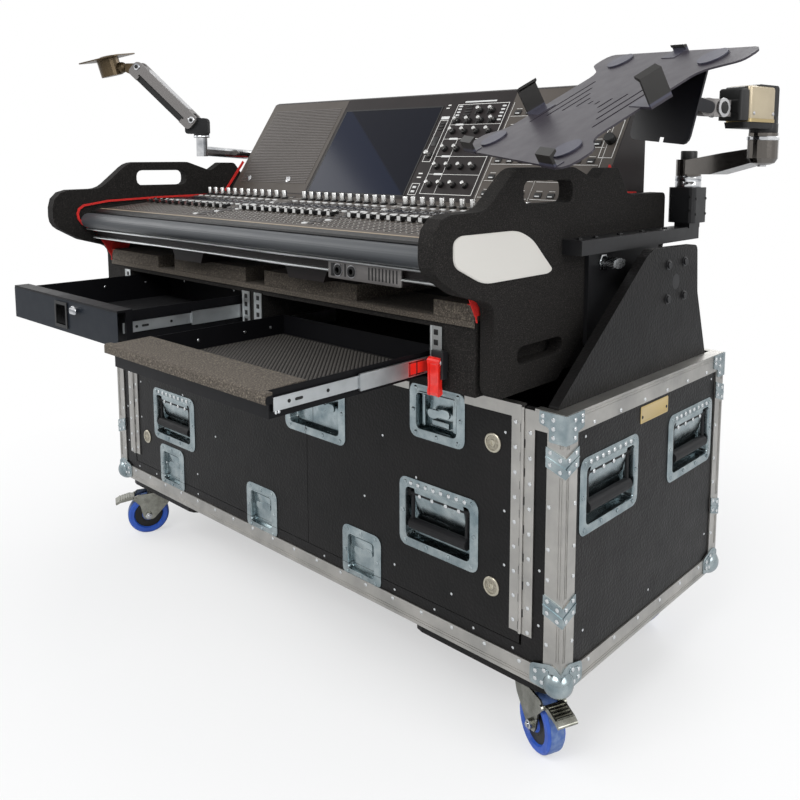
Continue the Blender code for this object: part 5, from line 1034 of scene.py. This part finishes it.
def make_bridge():
    """Ribbed panel, screen surround, knob section and switch section of the sloped face."""
    make_bridge_panels()
    bezel, marks, knobs, skirts, white, keys = fresh(6)
    x0, x1, t0, t1 = -0.250, 0.075, 0.010, 0.246
    near, far = 0.0004, 0.004
    for a0, a1, b0, b1 in ((x0 - far, x0 - near, t0 - far, t1 + far),
                           (x1 + near, x1 + far, t0 - far, t1 + far),
                           (x0 - near, x1 + near, t0 - far, t0 - near),
                           (x0 - near, x1 + near, t1 + near, t1 + far)):
        add_box(bezel, a0, a1, b0, b1, 0.0000, 0.0010, BRIDGE)
    add_knob_section(marks, skirts, knobs, white, keys)
    add_monitor_strip(bezel, marks, skirts, knobs, white, keys)
    add_switch_section(marks, skirts, white, keys)
    finish("cradle", (bezel, "screen_bezel", "cap_black"), (marks, "bridge_marks", "marking"),
           (knobs, "bridge_knobs", "cap_silver"), (skirts, "bridge_knob_skirts", "cap_black"),
           (white, "bridge_light_keys", "cap_white"), (keys, "bridge_keys", "cap_black"))


def make_console_front():
    """Lip and tan line over the armrest, rails under it, and the vent and socket block."""
    width = (-HALF_CONSOLE, HALF_CONSOLE)
    lip = [(-0.3856, 0.7035), (-0.3935, 0.7045), (-0.3925, 0.7085), (-0.3780, 0.7128),
           (-0.3765, 0.7117), (-0.3860, 0.7070)]
    build("front_lip", "cradle", "cap_black", (add_prism, lip, AXES["X"], *width))
    build("tan_line", "cradle", "tan_line", (add_box, *width, 0.0030, 0.0095, 0.0001, 0.0011, DECK))
    bm = bmesh.new()
    for z, reach in ((0.6430, 0.0), (0.6636, 0.0150)):
        rail = [(-0.3852, z), (-0.3925 - reach, z + 0.0005), (-0.3940 - reach, z + 0.0024),
                (-0.3925 - reach, z + 0.0044), (-0.3852, z + 0.0048)]
        add_prism(bm, rail, AXES["X"], *width)
    piece(bm, "front_rails", "cradle", "bright_rail")
    face = shift(0.3715, FRONT - 0.108, 0.6494) @ turned(90, "X")
    build("socket_block_face", "cradle", "grey_paint",
          (add_loft, [(0.0872, 0.0160, 0.002, -0.002), (0.0872, 0.0160, 0.002, 0.0004),
                      (0.0860, 0.0148, 0.002, 0.0010)], face))
    bm = bmesh.new()
    for step in range(9):
        x = 0.014 + 0.0080 * step
        key(bm, face, x - 0.0015, x + 0.0015, -0.0110, 0.0105, 0.0014, 0.0006)
    sockets = [face @ shift(x, -0.001, 0) for x in (-0.062, -0.028)]
    for at in sockets:
        add_turned(bm, [(0.0095, 0.0006), (0.0095, 0.0030), (0.0080, 0.0036), (0.0050, 0.0036),
                        (0.0046, 0.0010)], at, 22)
    key(bm, face, -0.080, -0.070, -0.012, 0.010, 0.0016, 0.0006)
    key(bm, face, -0.046, -0.042, -0.011, 0.011, 0.0014, 0.0006)
    piece(bm, "socket_block_vents", "cradle", "cap_black")
    ring = [(0.0108, 0.0006), (0.0108, 0.0020), (0.0096, 0.0020), (0.0096, 0.0006)]
    build("socket_rings", "cradle", "satin_steel", *[(add_turned, ring, at, 22, True) for at in sockets])


# Cradle

def from_front(outline):
    """Outline given as (y from the case front, z), with a radius kept if there is one."""
    return [(a + FRONT, *rest) for a, *rest in outline]


def make_cheek_details():
    """Bare badges and red liner edges of the cheeks."""
    badge = [(-0.154, 0.719, 0.014), (-0.140, 0.727, 0.012), (-0.003, 0.727, 0.020),
             (0.036, 0.710, 0.016), (0.092, 0.657, 0.010), (0.079, 0.652, 0.010),
             (-0.087, 0.652, 0.020), (-0.154, 0.684, 0.014)]
    inset = [(a + FRONT + (0.0010 if a < 0 else -0.0010), b + (0.0008 if b < 0.69 else -0.0008), r)
             for a, b, r in badge]
    ribbon = [(-0.0980, 0.6570), (-0.1170, 0.6660), (-0.1330, 0.6760), (-0.1420, 0.6890),
              (-0.1440, 0.7030), (-0.1395, 0.7150), (-0.1270, 0.7235), (-0.068, 0.7320),
              (0.058, 0.7370), (0.235, 0.7400), (0.263, 0.7530), (0.318, 0.8260), (0.3225, 0.8215),
              (0.2665, 0.7480), (0.236, 0.7355), (0.058, 0.7325), (-0.067, 0.7275), (-0.1245, 0.7190),
              (-0.1355, 0.7118), (-0.1392, 0.7018), (-0.1375, 0.6905), (-0.1298, 0.6795),
              (-0.1150, 0.6702), (-0.0960, 0.6612)]
    nose = [(-0.1000, 0.6520), (-0.0980, 0.6428), (-0.0120, 0.6425), (-0.0190, 0.6143),
            (-0.0535, 0.5974), (-0.0649, 0.5959), (-0.0790, 0.6240), (-0.0905, 0.6416)]
    rear = [(0.330, 0.7690), (0.410, 0.7690), (0.410, 0.7745), (0.332, 0.7760)]
    leg = [(0.5576, 0.6148), (0.5640, 0.6142), (0.5700, 0.6080), (0.5746, 0.5970), (0.5762, 0.5870),
           (0.5746, 0.5870), (0.5731, 0.5965), (0.5688, 0.6067), (0.5635, 0.6126), (0.5576, 0.6133)]
    for side, label in SIDES:
        face = 0.6058 * side
        build("bare_badge_" + label, "cradle", "white_plate",
              (add_plate, from_front(badge), "X", face - 0.0004 * side, face + 0.0012 * side, 5),
              (add_plate, inset, "X", face + 0.0011 * side, face + 0.0020 * side, 5))
        build("red_liner_" + label, "cradle", "red_liner",
              *[(add_prism, from_front(outline), AXES["X"], 0.57230 * side, reach * side)
                for outline, reach in ((ribbon, 0.5752), (nose, 0.5742), (rear, 0.5800))],
              (add_prism, [(a * side, b) for a, b in leg], AXES["Y"], -0.3492, -0.3470))


def foam_block(name, x0, x1, y0, y1, z0, z1):
    """Cut foam block with a slightly uneven surface and soft edges."""
    bm = bmesh.new()
    add_box(bm, x0, x1, y0, y1, z0, z1)
    for axis, low, high in ((0, x0, x1), (1, y0, y1), (2, z0, z1)):
        count = max(2, round((high - low) / 0.012))
        normal = Vector((0, 0, 0))
        normal[axis] = 1
        for step in range(1, count):
            bmesh.ops.bisect_plane(bm, geom=bm.verts[:] + bm.edges[:] + bm.faces[:], plane_no=normal,
                                   plane_co=normal * (low + (high - low) * step / count))
    low, high = Vector((x0, y0, z0)), Vector((x1, y1, z1))
    middle = (low + high) / 2

    def at_face(vert, axis):
        return min(abs(vert.co[axis] - low[axis]), abs(vert.co[axis] - high[axis])) < 1e-6

    for vert in bm.verts:
        faces = sum(at_face(vert, axis) for axis in range(3))
        if not faces:
            continue
        wave = math.sin(90 * vert.co.x) * math.cos(75 * vert.co.y)
        pull = 0.0011 if faces >= 2 else 0.00035 * (1 + wave)
        for axis in range(3):
            if axis == 2 and vert.co.z < z0 + 1e-6:
                continue
            if at_face(vert, axis):
                vert.co[axis] += pull if vert.co[axis] < middle[axis] else -pull
    made = piece(bm, name, "cradle", "pad_foam", 50)
    return made


def add_weave(bm, x0, x1, y0, y1, pitch, frame_at):
    """Rows of low diamonds, set in turn, as on an anti-slip mat or a mesh."""
    reach = 0.36 * pitch
    for row in range(int((y1 - y0) / (pitch / 2))):
        y = y0 + pitch / 2 * (row + 0.5)
        for step in range(int((x1 - x0) / pitch) - 1):
            x = x0 + pitch * (step + 0.5 + 0.5 * (row % 2))
            spots = [(x - reach, y), (x, y - reach), (x + reach, y), (x, y + reach)]
            ring = [bm.verts.new(frame_at @ Vector((a, b, 0.0))) for a, b in spots]
            top = bm.verts.new(frame_at @ Vector((x, y, 0.0012)))
            for index in range(4):
                bm.faces.new((ring[index], ring[(index + 1) % 4], top))
            bm.faces.new(list(reversed(ring)))


def make_cabinet_details():
    """Foam on the shelf, rack strips, back mesh and lever block of the drawer cabinet."""
    for side, label in SIDES:
        x0, x1 = sorted((0.030 * side, 0.300 * side))
        made = foam_block("shelf_foam_" + label, x0 + 0.0002, x1 - 0.0002, -0.3430, -0.1032, 0.5875,
                          0.6174)
        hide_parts("foam_pad_" + label)
    foam_block("end_foam_left", -0.5720, -0.3550, -0.3496, -0.2250, 0.5875, 0.6150)
    foam_block("end_foam_right", 0.4855, 0.5720, -0.3496, -0.2250, 0.5875, 0.6150)
    build("shelf_edge", "cradle", "pad_foam",
          (add_box, -0.5722, 0.5722, CABINET_FRONT, -0.3486, 0.5780, 0.5872),
          (add_box, -0.5722, 0.5722, CABINET_FRONT, -0.2000, 0.5872, 0.5874))
    strips, holes = fresh(2)
    for middle in (0.4935, 0.0195, -0.0195, -0.4935):
        x0, x1 = middle - 0.0120, middle + 0.0120
        add_box(strips, x0 - 0.0002, x1 + 0.0002, -0.3505, CABINET_FRONT, 0.4856, 0.5714)
        for edge in (x0 + 0.0010, x1 - 0.0010):
            add_box(strips, edge - 0.0009, edge + 0.0009, -0.3514, -0.3504, 0.4856, 0.5714)
        for step in range(5):
            z = 0.4945 + 0.0167 * step
            round_box(holes, middle - 0.0045, middle + 0.0045, z - 0.0045, z + 0.0045, 0.0, 0.0004,
                      0.0008, on_front(0, -0.3505, 0))
    finish("cradle", (strips, "rack_strips", "bright_rail"), (holes, "rack_strip_holes", "cap_black"))
    build("bay_back_mesh", "cradle", "mat_weave",
          *[(add_weave, x0, x1, 0.4880, 0.5670, 0.0085, on_front(0, 0.0345, 0))
            for x0, x1 in ((0.036, 0.477), (-0.477, -0.036))])
    build("lever_block", "cradle", "black_steel",
          (round_box, 0.4865, 0.5195, 0.5010, 0.5340, 0.0, 0.0042, 0.003, on_front(0, -0.3508, 0)),
          (add_box, 0.5140, 0.5195, -0.3620, -0.3520, 0.4900, 0.5340))


def make_lever():
    """Red drawer lock lever with ribs at both sides, and its pin."""
    y = -0.3592
    handle = [(y - 0.0062, 0.5160, 0.002), (y + 0.0050, 0.5160, 0.002), (y + 0.0032, 0.4780, 0.003),
              (y + 0.0060, 0.4640, 0.003), (y - 0.0050, 0.4605, 0.003), (y - 0.0068, 0.4660, 0.004),
              (y - 0.0046, 0.4780, 0.004)]
    rib = [(a - 0.0012, b, r) for a, b, r in handle]
    made = build("red_lever", "drawer_lock_lever", "red_plastic",
                 (add_rod, (0.4880, y, 0.5162), (0.5136, y, 0.5162), 0.0070, 24),
                 (add_plate, handle, "X", 0.4905, 0.5115, 4),
                 (add_plate, rib, "X", 0.4896, 0.4930, 4), (add_plate, rib, "X", 0.5090, 0.5124, 4))
    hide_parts("drawer_lock_lever")
    build("red_lever_pin", "drawer_lock_lever", "satin_steel",
          (add_turned, [(0.0050, 0.0), (0.0050, 0.0010), (0.0036, 0.0018)],
           on_side(1, 0.5137, y, 0.5162), 6))


def slide_strip(bm, dark, x, way, y0, y1, z):
    """Visible face of a slide member with its tracks, and its holes where it shows."""
    half = 0.0098
    face = x + 0.0004 * way
    add_box(bm, x, face, y0, y1, z - half, z + half)
    for edge in (-1, 1):
        add_box(bm, face, face + 0.0005 * way, y0, y1, z + (half - 0.0032) * edge,
                z + (half - 0.0010) * edge)
    for step in range(5 if dark else 0):
        y = y0 + (y1 - y0) * (0.08 + 0.21 * step)
        at = on_side(way, face, 0, z) @ shift(y * way, 0, 0)
        add_turned(dark, [(0.0028, 0.0), (0.0028, 0.0004)], at, 12)
        if step % 2 == 0:
            round_box(dark, 0.010, 0.024, -0.0022, 0.0022, 0.0, 0.0004, 0.002, at)


def make_slides():
    """Faces of the slide members on both drawers, and the red clip of the right one."""
    right = ((0.4726, 1, True), (0.0404, -1, False))
    left = ((-0.0404, 1, True), (-0.4726, -1, True))
    for label, strips, y0, y1, z in (("right", right, -0.6520, -0.3230, 0.5057),
                                     ("left", left, -0.5985, -0.2690, 0.5297)):
        bm, dark = fresh(2)
        for x, way, seen in strips:
            slide_strip(bm, dark if seen else None, x, way, y0, y1, z)
        finish("drawer_" + label, (bm, label + "_drawer_runners", "slide_zinc"),
               (dark, label + "_runner_holes", "cap_black"))
    build("slide_end_clip", "runners_right", "red_plastic",
          (add_box, 0.47725, 0.47750, -0.3960, -0.3480, 0.4940, 0.5170))
    edges = ((-0.3950, -0.3925, 0.4945, 0.5165), (-0.3790, -0.3760, 0.4945, 0.5165),
             (-0.3950, -0.3490, 0.5145, 0.5167), (-0.3950, -0.3490, 0.4943, 0.4965))
    build("slide_clip_edges", "runners_right", "zinc",
          *[(add_box, 0.47745, 0.47760, *edge) for edge in edges])


def make_drawer_insides():
    """Mats of both drawers and the foam hand rest over the right one's front."""
    build("drawer_mat", "drawer_right", "mat_base",
          (add_box, 0.0478, 0.4652, -0.6540, -0.3110, 0.4873, 0.4888))
    build("drawer_mat_weave", "drawer_right", "mat_weave",
          (add_weave, 0.0500, 0.4640, -0.5900, -0.3130, 0.0088, shift(0, 0, 0.4888)))
    nose = [(-0.6698, 0.5100), (-0.6698, 0.5225), (-0.6688, 0.5243), (-0.6670, 0.5253),
            (-0.6577, 0.5256), (-0.6577, 0.5100)]
    pad = [(-0.6660, 0.5190), (-0.6660, 0.52545), (-0.6577, 0.52575), (-0.5925, 0.5276),
           (-0.5906, 0.5268), (-0.5900, 0.5250), (-0.5900, 0.5190)]
    made = build("hand_rest_foam", "drawer_right", "pad_foam",
                 (add_prism, nose, AXES["X"], 0.0342, 0.4788), (add_prism, pad, AXES["X"], 0.0456, 0.4674))
    build("left_drawer_mat", "drawer_left", "rubber",
          (add_box, -0.4672, -0.0458, -0.5975, -0.2705, 0.5013, 0.5022))


def make_drawer_details():
    """Slides, mats, front, lock and screws of both drawers."""
    make_slides()
    make_drawer_insides()
    front = on_front(-0.2565, -0.6110, 0.5297)
    sheet = ((-0.2228, -0.0246, -0.0330, 0.0300), (0.0246, 0.2228, -0.0330, 0.0300),
             (-0.0246, 0.0246, 0.0246, 0.0300), (-0.0246, 0.0246, -0.0330, -0.0246))
    build("left_drawer_face", "drawer_left", "navy_front",
          *[(add_box, *row, -0.0002, 0.0004, front) for row in sheet])
    collar = ((-0.0265, 0.0265, 0.0195, 0.0255), (-0.0265, 0.0265, -0.0255, -0.0195),
              (-0.0265, -0.0205, -0.0195, 0.0195), (0.0205, 0.0265, -0.0195, 0.0195))
    build("drawer_latch_frame", "drawer_left", "cap_black",
          *[(add_box, *row, 0.0014, 0.0030, front) for row in collar])
    lock = front @ shift(0.0540, 0.0150, 0)
    build("drawer_lock", "drawer_left", "chrome",
          (add_turned, [(0.0085, 0.0), (0.0085, 0.0040), (0.0072, 0.0060), (0.0030, 0.0064),
                        (0.0026, 0.0090)], lock, 24),
          (round_box, -0.0020, 0.0240, -0.0060, 0.0060, 0.0075, 0.0098, 0.0045, lock))
    build("right_drawer_screws", "drawer_right", "rivet",
          *[(add_rivets, [(x, y, 0.5050) for y in (-0.560, -0.500, -0.400, -0.340)], (way, 0, 0),
             0.0032, 0.0012) for x, way in ((0.0460, 1), (0.4670, -1))],
          (add_rivets, [(0.4690, y, 0.4925) for y in (-0.645, -0.640)], (1, 0, 0)))
    build("left_drawer_screws", "drawer_left", "rivet",
          *[(add_rivets, [(x, y, 0.5400) for y in (-0.540, -0.420, -0.320)], (way, 0, 0), 0.0030, 0.0012)
            for x, way in ((-0.4670, 1), (-0.0460, -1))],
          (add_rivets, [(x, -0.2707, 0.5450) for x in (-0.380, -0.180)], FORWARD, 0.0030, 0.0012))


def make_frame_details():
    """Bolts of the uprights and side brackets, and nuts and collars of the clamps and arms."""
    bolt = [(0.0095, -0.0002), (0.0095, 0.0010), (0.0070, 0.0016), (0.0070, 0.0042), (0.0058, 0.0052)]
    screw = [(0.0026, -0.0002), (0.0026, 0.0008), (0.0014, 0.0012)]
    collar = [(0.0250, 0.7822), (0.0252, 0.7840), (0.0252, 0.7915), (0.0246, 0.7925), (0.0246, 0.7940),
              (0.0252, 0.7950), (0.0252, 0.8025), (0.0248, 0.8038)]
    for side, label in SIDES:
        build("upright_bolts_" + label, "case", "black_steel",
              *[(add_turned, bolt, on_side(side, 0.6749 * side, 0, 0) @ shift((y + FRONT) * side, z, 0))
                for y, z in ((0.364, 0.645), (0.429, 0.646), (0.364, 0.582), (0.429, 0.582))])
        bm = bmesh.new()
        x = ARM_X * side
        for a, height in ((-0.020, 0.730), (0.020, 0.760)):
            for z in (0.738, 0.764):
                add_turned(bm, screw, on_front(x + a, 0.2089, z), 10)
            for y in (0.220, 0.262):
                add_turned(bm, screw, on_side(side, x + 0.0281 * side, y, height), 10)
        for y in (-0.150, -0.100, -0.020, 0.060, 0.150):
            add_turned(bm, [(0.0055, -0.0002), (0.0055, 0.0022), (0.0040, 0.0032)],
                       shift(0.6290 * side, y, 0.7042), 6)
        piece(bm, "bracket_screws_" + label, "cradle", "cap_black")
        build("clamp_nut_" + label, "cradle", "rivet",
              (add_turned, [(0.0150, 0.0006), (0.0150, 0.0028), (0.0125, 0.0034), (0.0125, 0.0006)],
               on_side(side, 0.6140 * side, 0.236 + FRONT, 0.6572), 6, True))
        build("collar_rings_" + label, "cradle", "chrome", (add_turned, collar, shift(x, 0.240, 0.0), 32))


# Display arms

def facing(x, y):
    return Matrix.Rotation(math.atan2(y, x), 4, "Z")


def make_right_arm_details():
    """Covers, rings, caps and screws of the laptop arm."""
    base = shift(ARM_X, 0.240, ARM_BASE_Z) @ facing(0.198, -0.139)
    build("right_base_cap", "right_arm_link", "cap_black",
          (add_turned, [(0.0160, 0.0315), (0.0160, 0.0470), (0.0150, 0.0490), (0.0060, 0.0490)], base, 24))
    post = base @ shift(math.hypot(0.198, 0.139), 0, 0)
    build("right_elbow_ring", "right_arm_link", "chrome",
          (add_turned, [(0.0253, 0.0650), (0.0262, 0.0660), (0.0262, 0.0705), (0.0253, 0.0715)], post, 36))
    build("right_elbow_nut", "right_arm_link", "satin_steel",
          (add_turned, [(0.0070, 0.0208), (0.0070, 0.0235), (0.0105, 0.0240)], post, 6))

    upper = shift(0.828, 0.101, 0.8813) @ facing(-0.033, -0.1624)
    middle = upper @ shift(0.0400, 0, 0)
    shell = [(0.0362, 0.0228, 0.006, 0.0215), (0.0364, 0.0230, 0.006, 0.0225),
             (0.0364, 0.0230, 0.006, 0.0690), (0.0356, 0.0222, 0.006, 0.0722),
             (0.0335, 0.0200, 0.006, 0.0738)]
    build("right_arm_cover", "right_arm_upper", "cream_cover", (add_loft, shell, middle, True))
    build("right_arm_lip", "right_arm_upper", "gold_plate",
          (add_loft, [(0.0372, 0.0238, 0.006, 0.0160), (0.0372, 0.0238, 0.006, 0.0214)], middle, True))
    build("right_arm_housing", "right_arm_upper", "cap_black",
          (add_loft, [(0.0130, 0.0215, 0.005, 0.0180), (0.0130, 0.0215, 0.005, 0.0655),
                      (0.0110, 0.0195, 0.005, 0.0685)], upper @ shift(0.0870, 0, 0), True),
          (add_loft, [(0.0400, 0.0205, 0.006, 0.0060), (0.0420, 0.0215, 0.006, 0.0158)],
           upper @ shift(0.0430, 0, 0), True),
          (add_turned, [(0.0228, -0.0002), (0.0232, 0.0010), (0.0232, 0.0150), (0.0225, 0.0160)],
           upper, 32),
          (add_box, -0.0262, -0.0222, -0.0030, 0.0030, 0.0, 0.0700, upper))
    build("right_arm_screws", "right_arm_upper", "satin_steel",
          *[(add_turned, [(0.0030, 0.0), (0.0030, 0.0012), (0.0018, 0.0016)],
             upper @ looking((x, 0.0230 * way, 0.030), (-way, 0, 0)), 10)
            for x in (0.012, 0.066) for way in (-1, 1)])

    head = shift(0.7950, -0.0614, 0.9179) @ facing(0.033, 0.1624)
    sides = [head @ shift(0.036, 0, 0) @ turned(90 * way, "X") @ shift(0, 0, -0.0035) for way in (-1, 1)]
    ring = [(0.0148, 0.0135), (0.0152, 0.0148), (0.0148, 0.0162), (0.0100, 0.0166), (0.0092, 0.0150)]
    bolt = [(0.0088, 0.0150), (0.0088, 0.0168), (0.0060, 0.0174)]
    build("right_head_rings", "right_arm_head", "satin_steel",
          *[(add_turned, ring, at, 28) for at in sides])
    build("right_head_bolts", "right_arm_head", "cap_black", *[(add_turned, bolt, at, 24) for at in sides])


def make_left_arm_details():
    """Bolts, covers and trims of the display arm, from its elbow and its raised upper arm."""
    lift = Vector((-0.137, -0.093, 0))
    elbow = shift(-0.592, -0.080, 0.8863) @ facing(lift.x, lift.y)
    rise, run = 0.138, lift.length - 0.020
    arm = elbow @ shift(0.020, 0, 0.0455) @ Matrix.Rotation(-math.atan2(rise, run), 4, "Y")
    length = math.hypot(rise, run)
    bolt = [(0.0088, -0.0002), (0.0088, 0.0012), (0.0074, 0.0022), (0.0050, 0.0022), (0.0046, 0.0010)]
    cap = [(0.0045, 0.0008), (0.0045, 0.0018), (0.0030, 0.0022)]
    pivots = [arm @ shift(x, 0.0170 * way, 0) @ turned(-90 * way, "X")
              for x in (0.0, length) for way in (-1, 1)]
    build("left_arm_bolts", "left_arm_upper", "chrome", *[(add_turned, bolt, at, 24) for at in pivots])
    build("left_arm_bolt_caps", "left_arm_upper", "cap_black",
          *[(add_turned, cap, at, 12) for at in pivots])
    half = (length - 0.05) / 2
    build("left_arm_top_cover", "left_arm_upper", "satin_steel",
          (add_loft, [(half, 0.0115, 0.008, 0.0138), (half, 0.0115, 0.008, 0.0150),
                      (half - 0.002, 0.0095, 0.006, 0.0156)], arm @ shift(length / 2, 0, 0), True))
    build("left_arm_lower_bar", "left_arm_upper", "cap_black",
          (add_box, 0.022, length - 0.022, -0.0118, 0.0118, -0.0272, -0.0128, arm))
    build("left_elbow_ring", "left_arm_elbow", "chrome",
          (add_turned, [(0.0200, -0.0002), (0.0206, 0.0010), (0.0206, 0.0040), (0.0200, 0.0050)],
           elbow, 28))
    build("left_base_cap", "left_arm_link", "cap_black",
          (add_turned, [(0.0158, 0.0415), (0.0158, 0.0560), (0.0148, 0.0578), (0.0060, 0.0578)],
           shift(-ARM_X, 0.240, ARM_BASE_Z), 24))


bpy.context.scene.view_settings.view_transform = "Standard"
make_camera()
make_stage()
paint_nodes()
make_dishes()
make_edge_dressing()
make_hinges()
make_door_details()
make_dish_inner()
make_caster_details()
make_deck()
make_bridge()
make_console_front()
make_cheek_details()
make_cabinet_details()
make_lever()
make_drawer_details()
make_frame_details()
make_right_arm_details()
make_left_arm_details()
